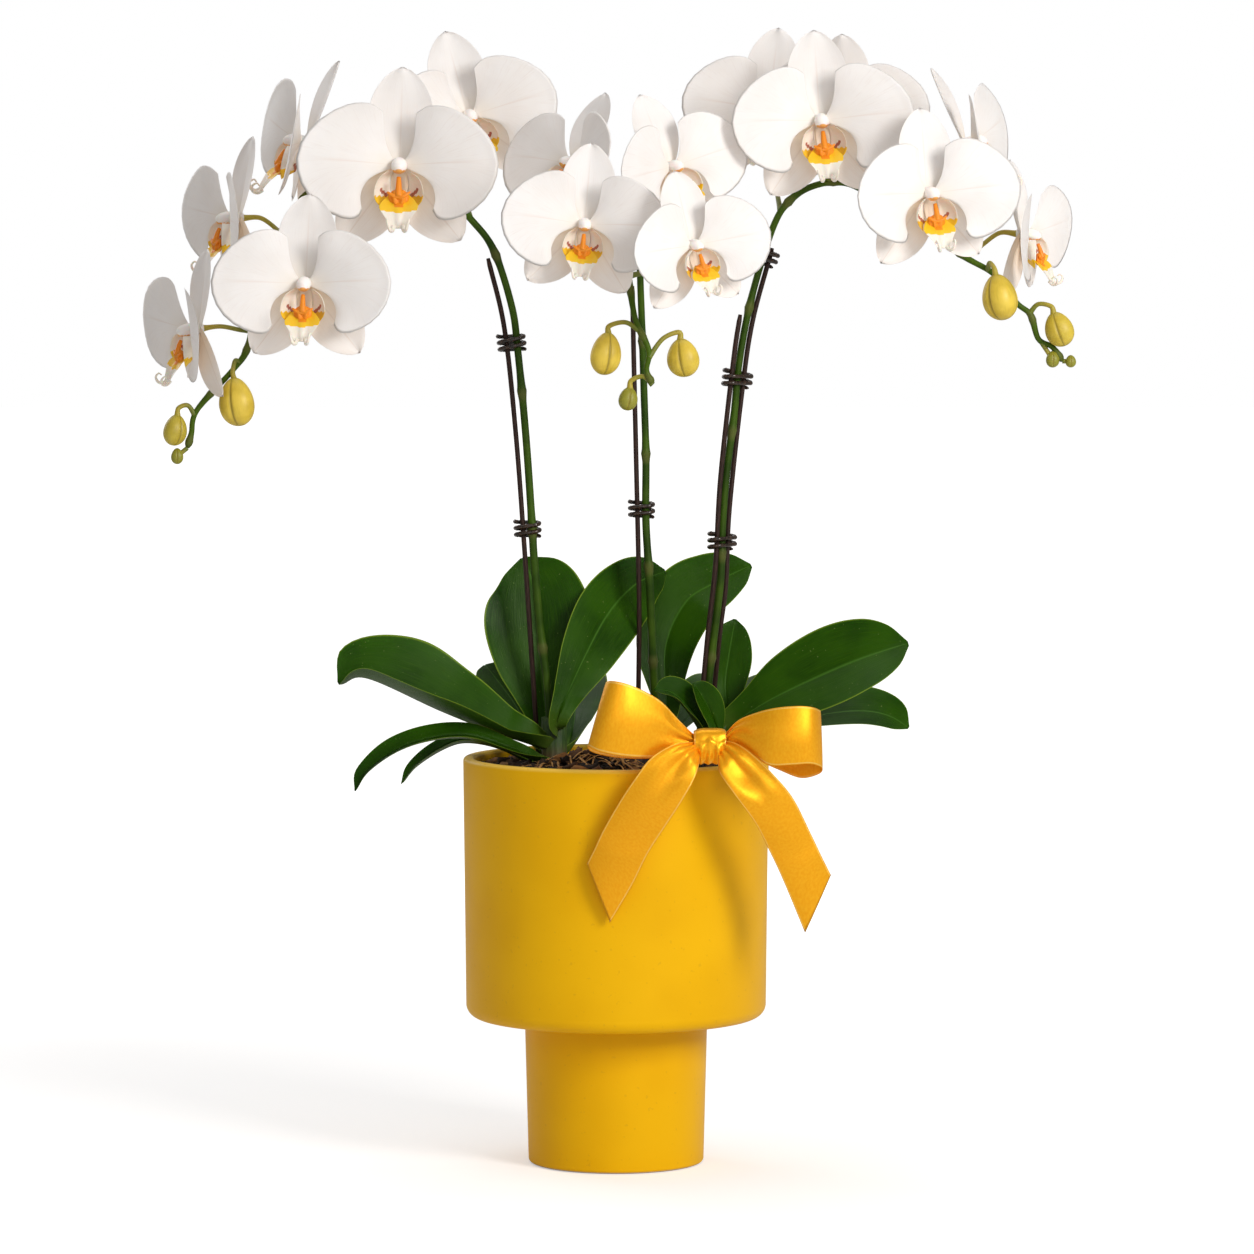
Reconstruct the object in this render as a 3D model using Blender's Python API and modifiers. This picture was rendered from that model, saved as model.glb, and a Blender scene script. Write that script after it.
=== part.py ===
"""Potted orchid: three arching flower spikes on three small plants, in one ceramic pot.

Metres, +Z up. The origin is the centre of the pot's base, and -Y is the front.
Plant measures are written in millimetres from the pot's axis and from its rim.
"""
import math

import bmesh
import bpy
from mathutils import Matrix, Vector

for old in list(bpy.data.objects):
    bpy.data.objects.remove(old, do_unlink=True)

MM = 0.001

# ---------------------------------------------------------------- driving sizes
POT_HEIGHT = 204.0 * MM
RIM_RADIUS = 76.5 * MM
BOWL_RADIUS = 75.2 * MM
BOWL_EDGE = 6.5 * MM
FOOT_HEIGHT = 73.5 * MM
FOOT_TOP_RADIUS = 45.8 * MM
FOOT_RADIUS = 44.0 * MM
FOOT_EDGE = 2.0 * MM
FOOT_FILLET = 1.5 * MM
POT_WALL = 5.5 * MM
POT_FLOOR = 8.0 * MM
RIM_ROUND = 1.8 * MM
TOPPING_DROP = 8.0 * MM
TOPPING_DEPTH = 15.0 * MM
CLEAR = 0.35 * MM
STALK_GAP = 0.6 * MM
ROUND_STEPS = 32

CROWN_RADIUS = 7.0 * MM
CROWN_TOP = 18.0 * MM
LEAF_THICKNESS = 1.8 * MM
STEM_RADIUS = 2.1 * MM
STEM_TIP_RADIUS = 1.35 * MM
PEDICEL_RADIUS = 1.15 * MM
STAKE_RADIUS = 1.25 * MM
STAKE_DEPTH = 75.0 * MM
TIE_WIRE_RADIUS = 1.05 * MM
TIE_PITCH = 3.3 * MM
TIE_TURNS = 2.6
FLOWER_SPAN = 100.0 * MM
PETAL_THICKNESS = 1.2 * MM
COLUMN_BACK = 5.0 * MM
RIBBON_WIDTH = 30.0 * MM
RIBBON_THICKNESS = 0.9 * MM
KNOT_LENGTH = 16.0 * MM
KNOT_HEIGHT = 18.0 * MM
KNOT_DEPTH = 15.0 * MM
KNOT_WALL = 1.3 * MM
PICK_RADIUS = 1.0 * MM

RIM_MM = RIM_RADIUS / MM
CROWN_MM = CROWN_RADIUS / MM
SPACING = STEM_RADIUS + STAKE_RADIUS + CLEAR
STAKE_SHIFT = SPACING / MM - 3.7

parts = bpy.data.collections.new("potted_orchid")
cutters = bpy.data.collections.new("cutters")
bpy.context.scene.collection.children.link(parts)
bpy.context.scene.collection.children.link(cutters)


# ---------------------------------------------------------------- small helpers
def material(name, colour, roughness, metallic=0.0):
    mat = bpy.data.materials.new(name)
    mat.use_nodes = True
    shader = mat.node_tree.nodes["Principled BSDF"]
    shader.inputs["Base Color"].default_value = (*colour, 1.0)
    shader.inputs["Roughness"].default_value = roughness
    shader.inputs["Metallic"].default_value = metallic
    mat.diffuse_color = (*colour, 1.0)
    return mat


def add(name, data, mat, collection=parts):
    ob = bpy.data.objects.new(name, data)
    collection.objects.link(ob)
    if mat:
        data.materials.clear()
        data.materials.append(mat)
    return ob


def mm(x, y, z):
    """A point given in millimetres from the axis and above the rim."""
    return Vector((x * MM, y * MM, POT_HEIGHT + z * MM))


def smooth(points, count):
    """Evenly spaced points on a smooth curve through the given ones."""
    ps = [2 * points[0] - points[1]] + list(points) + [2 * points[-1] - points[-2]]
    fine = []
    for a, b, c, d in zip(ps, ps[1:], ps[2:], ps[3:]):
        for k in range(16):
            t = k / 16
            fine.append(0.5 * ((2 * b) + (c - a) * t + (2 * a - 5 * b + 4 * c - d) * t * t
                               + (3 * b - 3 * c + d - a) * t ** 3))
    fine.append(points[-1].copy())
    run = [0.0]
    for a, b in zip(fine, fine[1:]):
        run.append(run[-1] + (b - a).length)
    out, j = [], 0
    for i in range(count):
        want = run[-1] * i / (count - 1)
        while j < len(run) - 2 and run[j + 1] < want:
            j += 1
        span = max(run[j + 1] - run[j], 1e-9)
        out.append(fine[j].lerp(fine[j + 1], min(1.0, (want - run[j]) / span)))
    return out


def between(table, t):
    """A value read from (position, value) pairs, with eased steps."""
    for (a, va), (b, vb) in zip(table, table[1:]):
        if t <= b:
            k = (t - a) / (b - a)
            return va + (vb - va) * k
    return table[-1][1]


def tube_curve(name, points, radii, bevel, collection=parts, mat=None):
    curve = bpy.data.curves.new(name, "CURVE")
    curve.dimensions = "3D"
    curve.bevel_depth = 1.0
    curve.bevel_resolution = bevel
    curve.use_fill_caps = True
    spline = curve.splines.new("POLY")
    spline.points.add(len(points) - 1)
    for i, (point, p) in enumerate(zip(spline.points, points)):
        point.co = (*p, 1.0)
        point.radius = radii[i] if isinstance(radii, list) else radii
    return add(name, curve, mat, collection)


def to_mesh(ob, name, mat, collection=parts):
    """The evaluated object as a welded mesh object; the source is removed."""
    deps = bpy.context.evaluated_depsgraph_get()
    mesh = bpy.data.meshes.new_from_object(ob.evaluated_get(deps))
    bm = bmesh.new()
    bm.from_mesh(mesh)
    bmesh.ops.remove_doubles(bm, verts=bm.verts, dist=0.00001)
    bmesh.ops.recalc_face_normals(bm, faces=bm.faces)
    bm.to_mesh(mesh)
    bm.free()
    matrix = ob.matrix_world.copy()
    bpy.data.objects.remove(ob, do_unlink=True)
    new = add(name, mesh, mat, collection)
    new.matrix_world = matrix
    return new


def boolean(ob, other, operation):
    mod = ob.modifiers.new(operation.lower(), "BOOLEAN")
    mod.operation = operation
    mod.solver = "EXACT"
    mod.object = other


def guide(ob):
    ob.hide_render = True
    ob.display_type = "WIRE"


def union(name, pieces, mat, collection=parts):
    """Joins closed meshes that overlap into one solid."""
    first, rest = pieces[0], pieces[1:]
    for piece in rest:
        boolean(first, piece, "UNION")
    bpy.context.view_layer.update()
    whole = to_mesh(first, name, mat, collection)
    for piece in rest:
        bpy.data.objects.remove(piece, do_unlink=True)
    return whole


def turned(name, profile, mat, steps=ROUND_STEPS):
    mesh = bpy.data.meshes.new(name)
    bm = bmesh.new()
    verts = [bm.verts.new((r, 0.0, z)) for r, z in profile]
    for a, b in zip(verts, verts[1:]):
        bm.edges.new((a, b))
    bm.to_mesh(mesh)
    bm.free()
    ob = add(name, mesh, mat)
    screw = ob.modifiers.new("turn", "SCREW")
    screw.steps = screw.render_steps = steps
    screw.use_merge_vertices = True
    screw.merge_threshold = 0.00001
    screw.use_smooth_shade = True
    return ob


def corner(cx, cz, radius, start, end, count=4):
    """Points along a quarter round, angles in degrees."""
    out = []
    for i in range(count + 1):
        a = math.radians(start + (end - start) * i / count)
        out.append((cx + radius * math.cos(a), cz + radius * math.sin(a)))
    return out


def solidify(ob, thickness):
    mod = ob.modifiers.new("thickness", "SOLIDIFY")
    mod.thickness = thickness
    mod.offset = 0.0
    mod.use_even_offset = False
    return mod


def sheet(name, columns, rows, place, thickness, mat, collection=parts):
    """A grid whose (s, t) corners, s in -1..1 and t in 0..1, go where place says."""
    mesh = bpy.data.meshes.new(name)
    bm = bmesh.new()
    bmesh.ops.create_grid(bm, x_segments=columns, y_segments=rows, size=1.0)
    for v in bm.verts:
        v.co = place(v.co.x, (v.co.y + 1.0) / 2.0)
    bm.to_mesh(mesh)
    bm.free()
    mesh.shade_smooth()
    ob = add(name, mesh, mat, collection)
    solidify(ob, thickness)
    return ob


# ---------------------------------------------------------------- materials
GLAZE = material("satin_yellow_glaze", (0.84, 0.49, 0.012), 0.42)
SOIL = material("bark_mix", (0.055, 0.032, 0.018), 0.95)
BARK = material("bark_chips", (0.11, 0.052, 0.022), 0.9)
LEAF = material("leaf_green", (0.018, 0.085, 0.010), 0.32)
CROWN = material("crown_green", (0.05, 0.13, 0.02), 0.5)
STEM = material("spike_green", (0.045, 0.085, 0.018), 0.45)
STAKE = material("dyed_cane", (0.035, 0.018, 0.014), 0.5)
WIRE = material("coated_wire", (0.022, 0.012, 0.009), 0.45)
PETAL = material("white_petal", (0.88, 0.84, 0.80), 0.5)
BUD = material("bud_olive", (0.52, 0.46, 0.09), 0.5)
RIBBON = material("golden_satin", (0.87, 0.42, 0.03), 0.35)
PICK = material("pick_wire", (0.10, 0.12, 0.07), 0.5, 0.3)


# ---------------------------------------------------------------- pot
def wall_inside(z):
    """The bowl's inner radius at a height."""
    low = FOOT_HEIGHT + BOWL_EDGE
    k = (z - low) / (POT_HEIGHT - low)
    return BOWL_RADIUS + (RIM_RADIUS - BOWL_RADIUS) * k - POT_WALL


def foot_inside(z):
    k = z / FOOT_HEIGHT
    return FOOT_RADIUS + (FOOT_TOP_RADIUS - FOOT_RADIUS) * k - POT_WALL


SHELF = FOOT_HEIGHT + POT_WALL
INNER_EDGE = 4.0 * MM
pot_profile = [(0.0, POT_FLOOR), (foot_inside(POT_FLOOR), POT_FLOOR)]
pot_profile += [(foot_inside(FOOT_HEIGHT), SHELF)]
pot_profile += corner(wall_inside(SHELF) - INNER_EDGE, SHELF + INNER_EDGE, INNER_EDGE, -90, 0, 2)
pot_profile += corner(wall_inside(POT_HEIGHT) + RIM_ROUND, POT_HEIGHT - RIM_ROUND,
                      RIM_ROUND, 180, 90, 2)
pot_profile += corner(RIM_RADIUS - RIM_ROUND, POT_HEIGHT - RIM_ROUND, RIM_ROUND, 90, 0, 2)
pot_profile += corner(BOWL_RADIUS - BOWL_EDGE, FOOT_HEIGHT + BOWL_EDGE, BOWL_EDGE, 0, -90, 4)
pot_profile += [(FOOT_TOP_RADIUS + FOOT_FILLET, FOOT_HEIGHT),
                (FOOT_TOP_RADIUS, FOOT_HEIGHT - FOOT_FILLET)]
pot_profile += corner(FOOT_RADIUS - FOOT_EDGE, FOOT_EDGE, FOOT_EDGE, 0, -90, 2)
pot_profile += [(0.0, 0.0)]
pot = turned("pot", pot_profile, GLAZE)

# ---------------------------------------------------------------- growing mix and topping
TOPPING_TOP = POT_HEIGHT - TOPPING_DROP
MIX_TOP = TOPPING_TOP - TOPPING_DEPTH
mix_profile = [(0.0, MIX_TOP), (wall_inside(MIX_TOP) - CLEAR, MIX_TOP)]
mix_profile += corner(wall_inside(SHELF) - INNER_EDGE - CLEAR, SHELF + INNER_EDGE + CLEAR,
                      INNER_EDGE, 0, -90, 2)
mix_profile += [(foot_inside(FOOT_HEIGHT) - CLEAR, SHELF + CLEAR),
                (foot_inside(POT_FLOOR) - CLEAR, POT_FLOOR + CLEAR), (0.0, POT_FLOOR + CLEAR)]
growing_mix = turned("growing_mix", mix_profile, SOIL)
low = MIX_TOP + CLEAR
bark_topping = turned("bark_topping", [
    (0.0, TOPPING_TOP), (wall_inside(TOPPING_TOP) - CLEAR - 3 * MM, TOPPING_TOP),
    (wall_inside(TOPPING_TOP) - CLEAR, TOPPING_TOP - 3 * MM),
    (wall_inside(low) - CLEAR, low), (0.0, low)], BARK)


# ---------------------------------------------------------------- crowns
def hole(name, target_list, start, end, radius):
    """A round hole along a straight line."""
    axis = end - start
    bpy.ops.mesh.primitive_cylinder_add(vertices=16, radius=radius, depth=axis.length)
    ob = bpy.context.object
    ob.name = name
    for c in list(ob.users_collection):
        c.objects.unlink(ob)
    cutters.objects.link(ob)
    ob.location = (start + end) / 2
    ob.rotation_euler = axis.to_track_quat("Z", "Y").to_euler()
    guide(ob)
    for target in target_list:
        boolean(target, ob, "DIFFERENCE")
    return ob


CROWNS = {"left": (-31.0, 5.0), "centre": (20.0, 34.0), "right": (51.0, 8.0)}
CROWN_BASE = MIX_TOP + CLEAR - POT_HEIGHT
for side, (cx, cy) in CROWNS.items():
    length = CROWN_TOP - CROWN_BASE
    mesh = bpy.data.meshes.new("crown_" + side)
    bm = bmesh.new()
    bmesh.ops.create_cone(bm, cap_ends=True, segments=12, radius1=CROWN_RADIUS,
                          radius2=CROWN_RADIUS * 0.8, depth=length)
    bmesh.ops.translate(bm, verts=bm.verts, vec=(0, 0, length / 2))
    bm.to_mesh(mesh)
    bm.free()
    ob = add("crown_" + side, mesh, CROWN)
    ob.location = mm(cx, cy, CROWN_BASE / MM)
    hole("hole_crown_" + side, [bark_topping], mm(cx, cy, CROWN_BASE / MM - 2),
         mm(cx, cy, 2), CROWN_RADIUS + CLEAR)


# ---------------------------------------------------------------- leaves
LEAF_SHAPE = [(0.0, 0.30), (0.12, 0.42), (0.35, 0.82), (0.60, 1.0), (0.80, 0.86),
              (0.93, 0.52), (1.0, 0.10)]
STRAP_SHAPE = [(0.0, 0.6), (0.3, 0.95), (0.7, 1.0), (0.9, 0.7), (1.0, 0.15)]


def leaf(name, path, half_width, fold, face, face_tip=None, shape=LEAF_SHAPE, rows=7):
    """A blade along a path: folded up by an angle on each side of its midrib."""
    points = smooth([mm(*p) for p in path], 33)
    first, last = Vector(face).normalized(), Vector(face_tip or face).normalized()
    up = math.radians(fold)

    def place(s, t):
        i = min(31, int(t * 32))
        here = points[i].lerp(points[i + 1], t * 32 - i)
        along = (points[min(32, i + 2)] - points[max(0, i - 1)]).normalized()
        side = along.cross(first.lerp(last, t)).normalized()
        out = side.cross(along)
        w = half_width * MM * between(shape, t)
        lift = abs(s) ** 1.3
        return here + side * (s * w * math.cos(up)) + out * (lift * w * math.sin(up))

    return sheet(name, 4, rows, place, LEAF_THICKNESS, LEAF)


R = RIM_MM
leaf("leaf_left_big", [(-43, -5, 8), (-60, -8, 14), (-87, -10, 25), (-124, -12, 41),
                       (-138, -13, 37)], 28, 43, (0, -0.45, 0.89))
leaf("leaf_left_strap", [(-42, -14, 1), (-55, -17, 6), (3.5 - R, -20, 12), (-15.5 - R, -22, 11),
                         (-33.5 - R, -24, 5), (-48.5 - R, -25, -6), (-53 - R, -25, -15)],
     7.5, 30, (0, -0.5, 0.87), shape=STRAP_SHAPE)
leaf("leaf_left_small", [(-44, 10, -3), (-60, 12, 4.5), (0.5 - R, 12, 7), (-11.5 - R, 12, 3),
                         (-24.5 - R, 12, -6), (-31.5 - R, 12, -15)],
     5.5, 30, (0, -0.4, 0.9), shape=STRAP_SHAPE)
leaf("leaf_left_upright", [(-35, 15 + STAKE_SHIFT, 14), (-38, 24 + STAKE_SHIFT, 45), (-41, 30, 80), (-47, 32, 98)],
     28, 12, (0.05, -1, 0.15))
leaf("leaf_centre_left", [(-29, -5, 21), (-17 - STAKE_SHIFT, 10, 47), (-4 - STAKE_SHIFT, 27, 70),
                          (10 - STAKE_SHIFT, 40, 84), (25 - STAKE_SHIFT, 49, 90)],
     18, 14, (0.35, -0.85, 0.35))
leaf("leaf_back_left", [(-39, 17, 4), (-52, 36, 24), (-67, 52, 42)], 16, 25, (0, -0.6, 0.8))
leaf("leaf_rear_left", [(-23, 17, 5), (-21, 50, 22), (-27, 85, 28), (-32, 114, 14)],
     21, 25, (0, 0, 1))
leaf("leaf_back_right", [(26, 45, 17), (25, 52, 50), (35, 58, 73), (50, 62, 83), (69, 64, 92)],
     19, 16, (0, -0.85, 0.5))
leaf("leaf_rear_right", [(27, 46, 3), (46, 70, 22), (62, 97, 25), (70, 120, 10)],
     21, 25, (0, 0, 1))
leaf("leaf_right_small", [(57, 22, 13), (55, 27, 33), (57, 29, 50), (60, 30, 67)],
     12.5, 20, (0.1, -1, 0.1))
leaf("leaf_right_big", [(51 + CROWN_MM, 5, 15), (81, 0, 30), (117, -4, 47), (146, -6, 57)],
     25, 12, (-0.2, -0.75, 0.62))
leaf("leaf_right_low", [(60, 13, 5), (0.5 + R, 14, 13), (26.5 + R, 16, 19), (45.5 + R, 17, 21),
                        (59.5 + R, 16, 19), (70.5 + R, 14, 13)],
     18, 15, (0, -0.25, 0.97), (0, -0.6, 0.8))
leaf("leaf_front_left", [(46, -3, 9), (37, -14, 24), (28, -20, 33), (19, -23, 35)],
     11, 28, (0, -0.6, 0.8))
leaf("leaf_front_right", [(51, -3, 10), (47, -11, 23), (41, -17, 34), (38, -19, 38)],
     9, 25, (0.3, -0.8, 0.5))

# ---------------------------------------------------------------- flowers
def blade(name, length, half, angle, lean, cup, shape, depth, columns=2, rows=4):
    """A petal from the centre outward. Angle is from straight up, to the right."""
    a = math.radians(angle)
    out = Vector((math.sin(a), 0, math.cos(a)))
    across = Vector((math.cos(a), 0, -math.sin(a)))

    def place(s, t):
        reach = length * t
        w = half * between(shape, t)
        y = depth + reach * math.tan(math.radians(lean)) - cup * (abs(s) ** 2) * between(shape, t)
        p = out * (reach * math.cos(math.radians(lean))) + across * (s * w)
        return Vector((p.x, y, p.z)) * MM

    ob = sheet(name, columns, rows, place, PETAL_THICKNESS, None, cutters)
    return to_mesh(ob, name, None, cutters)


PETAL_SHAPE = [(0.0, 0.16), (0.25, 0.76), (0.5, 1.0), (0.75, 0.95), (1.0, 0.42)]
SEPAL_SHAPE = [(0.0, 0.3), (0.33, 0.85), (0.6, 1.0), (1.0, 0.2)]


def make_flower():
    """One bloom, 100 mm across, facing -Y with its centre at the origin."""
    bm = bmesh.new()
    bmesh.ops.create_cone(bm, cap_ends=True, segments=6, radius1=4.2 * MM,
                          radius2=3.4 * MM, depth=13 * MM)
    bmesh.ops.rotate(bm, verts=bm.verts, matrix=Matrix.Rotation(math.radians(90), 3, "X"))
    bmesh.ops.translate(bm, verts=bm.verts, vec=(0, COLUMN_BACK - 6.5 * MM, 0))
    mesh = bpy.data.meshes.new("column")
    bm.to_mesh(mesh)
    bm.free()
    column = add("column", mesh, None, cutters)
    pieces = [column,
              blade("dorsal", 50, 16, 0, 9, 2, SEPAL_SHAPE, 2.0, 2, 3),
              blade("sepal_l", 44, 14, -141, 4, 2, SEPAL_SHAPE, 2.2, 2, 3),
              blade("sepal_r", 44, 14, 141, 4, 2, SEPAL_SHAPE, 2.2, 2, 3),
              blade("petal_l", 51.5, 28.5, -81, -20, 3, PETAL_SHAPE, -1.2),
              blade("petal_r", 51.5, 28.5, 81, -20, 3, PETAL_SHAPE, -1.2),
              blade("lip", 26, 10.5, 180, -34, 9, [(0, 0.35), (0.4, 1.0), (1.0, 0.35)], -2, 2, 2)]
    return union("flower_shape", pieces, PETAL, cutters)


FLOWER_SCALE = FLOWER_SPAN / (100 * MM)
# name, x, y, z, turn to the right, tilt up, lean to the right, size, where on the spike (x, z)
FLOWERS = {
    "left": [
        ("flower_left_1", -74, 28, 320, 10, 0, -14, 0.90, (-76, 274)),
        ("flower_left_2", -107, -18, 295, 0, 0, 0, 1.0, (-104, 294)),
        ("flower_left_3", -157, 36, 307, -76, 10, 12, 0.90, (-140, 292)),
        ("flower_left_4", -191, 20, 269, -66, 0, 6, 0.84, (-168, 262)),
        ("flower_left_5", -152, -53, 237, -4, 0, 0, 0.90, (-172, 246)),
        ("flower_left_6", -209, -10, 214, -66, -5, 10, 0.81, (-181, 212))],
    "centre": [
        ("flower_centre_1", -20, -26, 295, -50, 17, 0, 0.82, (12, 262)),
        ("flower_centre_2", 27, -38, 294, 34, 6, -14, 0.78, (14, 276)),
        ("flower_centre_3", -15, -90, 266, 2, 0, 6, 0.81, (8, 255)),
        ("flower_centre_4", 37, -110, 256, 25, 0, -8, 0.74, (9, 240))],
    "right": [
        ("flower_right_1", 76, 24, 323, -10, 0, 4, 0.85, (80, 268)),
        ("flower_right_2", 116, 32, 322, 165, 0, 0, 0.80, (108, 287)),
        ("flower_right_3", 101, -20, 317, 4, 0, -4, 0.92, (100, 286)),
        ("flower_right_4", 175, -2, 306, 76, 13, -12, 0.84, (138, 275)),
        ("flower_right_5", 153, -50, 281, 18, 0, -4, 0.86, (152, 266)),
        ("flower_right_6", 204, 11, 261, 66, -2, -8, 0.76, (172, 251))]}

bloom = make_flower()
shape = bloom.data
bpy.data.objects.remove(bloom, do_unlink=True)
shape.shade_smooth()
backs = {}
for side, rows in FLOWERS.items():
    for name, x, y, z, turn, tilt, lean, size, where in rows:
        ob = bpy.data.objects.new(name, shape)
        parts.objects.link(ob)
        turned_to = (Matrix.Rotation(math.radians(turn), 4, "Z")
                     @ Matrix.Rotation(math.radians(-tilt), 4, "X")
                     @ Matrix.Rotation(math.radians(lean), 4, "Y"))
        ob.location = mm(x, y, z)
        ob.rotation_euler = turned_to.to_euler()
        k = size * FLOWER_SCALE
        ob.scale = (k, k, k)
        back = turned_to.to_3x3() @ Vector((0, 1, 0))
        backs[name] = (mm(x, y, z) + back * (COLUMN_BACK * k + STALK_GAP), back, where)

# ---------------------------------------------------------------- spikes
SPIKES = {
    "left": [(-33, 6, CROWN_TOP / MM + 0.8), (-35, 6, 40), (-38, 5, 63), (-41, 4, 99), (-42, 4, 116), (-45, 4, 160),
             (-49, 4, 203), (-52, 4, 225), (-61, 5, 253), (-72, 6, 268), (-88, 8, 284),
             (-108, 12, 294), (-138, 12, 292), (-155, 10, 280), (-168, 2, 258), (-178, -6, 230),
             (-183, -10, 205), (-190, -12, 194), (-208, -12, 174), (-211, -12, 162),
             (-213, -12, 155)],
    "centre": [(20, 33, CROWN_TOP / MM + 0.8), (20, 32.8, CROWN_TOP / MM + 6), (19, 27, 36), (17, 20, 84), (15, 20, 117), (15, 20, 150),
               (14, 20, 183), (13, 19, 215), (12, 15, 248), (13, 2, 274), (12, -20, 284),
               (8, -42, 274), (6, -56, 252), (9, -63, 222), (16, -66, 205), (15, -66, 195),
               (18, -66, 188)],
    "right": [(49, 7, CROWN_TOP / MM + 0.8), (46, 4, 33), (52, 2, 86), (53, 2, 113), (55, 2, 140), (59, 2, 172),
              (61, 2, 194), (65, 2, 218), (71, 4, 242), (79, 6, 266), (86, 7, 277),
              (96, 8, 284), (110, 8, 287), (123, 6, 283), (149, 0, 267), (173, -6, 250),
              (188, -8, 241), (199, -8, 227), (206, -8, 221), (210, -8, 209), (217, -8, 205),
              (222, -8, 198)]}
# name, x, y, z, half width, half length, lean to the right, where its stalk leaves the spike
BUDS = {
    "left": [("bud_left_1", -188, -14, 178, 8.7, 11.8, -8, (-188, 197)),
             ("bud_left_2", -219, -14, 164, 5.8, 7.6, 10, (-208, 174))],
    "centre": [("bud_centre_1", -5, -62, 203, 7.4, 10.2, 8, (10, 219)),
               ("bud_centre_2", 33, -62, 201, 7.8, 9.2, -10, (16, 206)),
               ("bud_centre_3", 6, -64, 181, 4.6, 5.6, 10, (17, 190))],
    "right": [("bud_right_1", 190, -22, 230, 8.6, 11.2, -12, (187, 242)),
              ("bud_right_2", 220, -12, 214, 7.0, 8.6, -20, (206, 220))]}


# buds still closed up at the tips: x, y, z, half width, half length, where
NUBS = {"left": [(-218, -13, 151, 3.0, 3.9, (-213, 156))], "centre": [],
        "right": [(217, -9, 199, 3.3, 4.0, (214, 207)), (226, -9, 198, 2.6, 3.0, (219, 202))]}


def nearest(points, x, z):
    return min(range(len(points)),
               key=lambda i: (points[i].x - x * MM) ** 2 + (points[i].z - POT_HEIGHT - z * MM) ** 2)


spike_lines = {}
for side, path in SPIKES.items():
    line = smooth([mm(*p) for p in path], 30)
    spike_lines[side] = line
    radii = [STEM_RADIUS + (STEM_TIP_RADIUS - STEM_RADIUS) * i / 29 for i in range(30)]
    pieces = [to_mesh(tube_curve("stem", line, radii, 1, cutters), "stem", None, cutters)]
    for name, (end, back, where) in backs.items():
        if "_" + side + "_" not in name:
            continue
        i = nearest(line, *where)
        start = line[i]
        behind = start.lerp(end + back * 18 * MM, 0.72)
        behind.z = start.z + 0.3 * (end.z - start.z)
        route = smooth([start, behind, end + back * 10 * MM, end], 6)
        pieces.append(to_mesh(tube_curve("stalk", route, PEDICEL_RADIUS, 1, cutters),
                              "stalk", None, cutters))
    for name, x, y, z, half, length, lean, where in BUDS[side]:
        start = line[nearest(line, *where)]
        a = math.radians(lean)
        up = Vector((math.sin(a), 0, math.cos(a)))
        end = mm(x, y, z) + up * (length * MM + STALK_GAP)
        route = smooth([start, (start + end) / 2 + up * 5 * MM, end + up * 4 * MM, end], 6)
        pieces.append(to_mesh(tube_curve("stalk", route, PEDICEL_RADIUS, 1, cutters),
                              "stalk", None, cutters))
    for x, y, z, half, length, where in NUBS[side]:
        start = line[nearest(line, *where)]
        end = mm(x, y, z)
        pieces.append(to_mesh(tube_curve("stalk", [start, (start + end) / 2, end],
                                         PEDICEL_RADIUS, 1, cutters), "stalk", None, cutters))
        mesh = bpy.data.meshes.new("nub")
        bm = bmesh.new()
        bmesh.ops.create_uvsphere(bm, u_segments=8, v_segments=5, radius=1.0)
        bmesh.ops.scale(bm, verts=bm.verts, vec=(half * MM, half * MM, length * MM))
        bmesh.ops.translate(bm, verts=bm.verts, vec=end)
        bm.to_mesh(mesh)
        bm.free()
        pieces.append(add("nub", mesh, None, cutters))
    union("spike_" + side, pieces, STEM).data.shade_smooth()

# ---------------------------------------------------------------- buds
for side, rows in BUDS.items():
    for name, x, y, z, half, length, lean, where in rows:
        mesh = bpy.data.meshes.new(name)
        bm = bmesh.new()
        bmesh.ops.create_uvsphere(bm, u_segments=9, v_segments=6, radius=1.0)
        for v in bm.verts:
            taper = 1.0 - 0.12 * v.co.z
            v.co = (v.co.x * half * taper * MM, v.co.y * half * taper * MM, v.co.z * length * MM)
        bm.to_mesh(mesh)
        bm.free()
        mesh.shade_smooth()
        ob = add(name, mesh, BUD)
        ob.location = mm(x, y, z)
        ob.rotation_euler = (0, math.radians(lean), 0)


# ---------------------------------------------------------------- stakes and ties
def at_height(line, z):
    """The point of a line at a height, and the line's direction there."""
    want = POT_HEIGHT + z * MM
    for a, b in zip(line, line[1:]):
        if (a.z - want) * (b.z - want) <= 0 and a.z != b.z:
            return a.lerp(b, (want - a.z) / (b.z - a.z)), (b - a).normalized()
    return line[-1], Vector((0, 0, 1))


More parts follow.
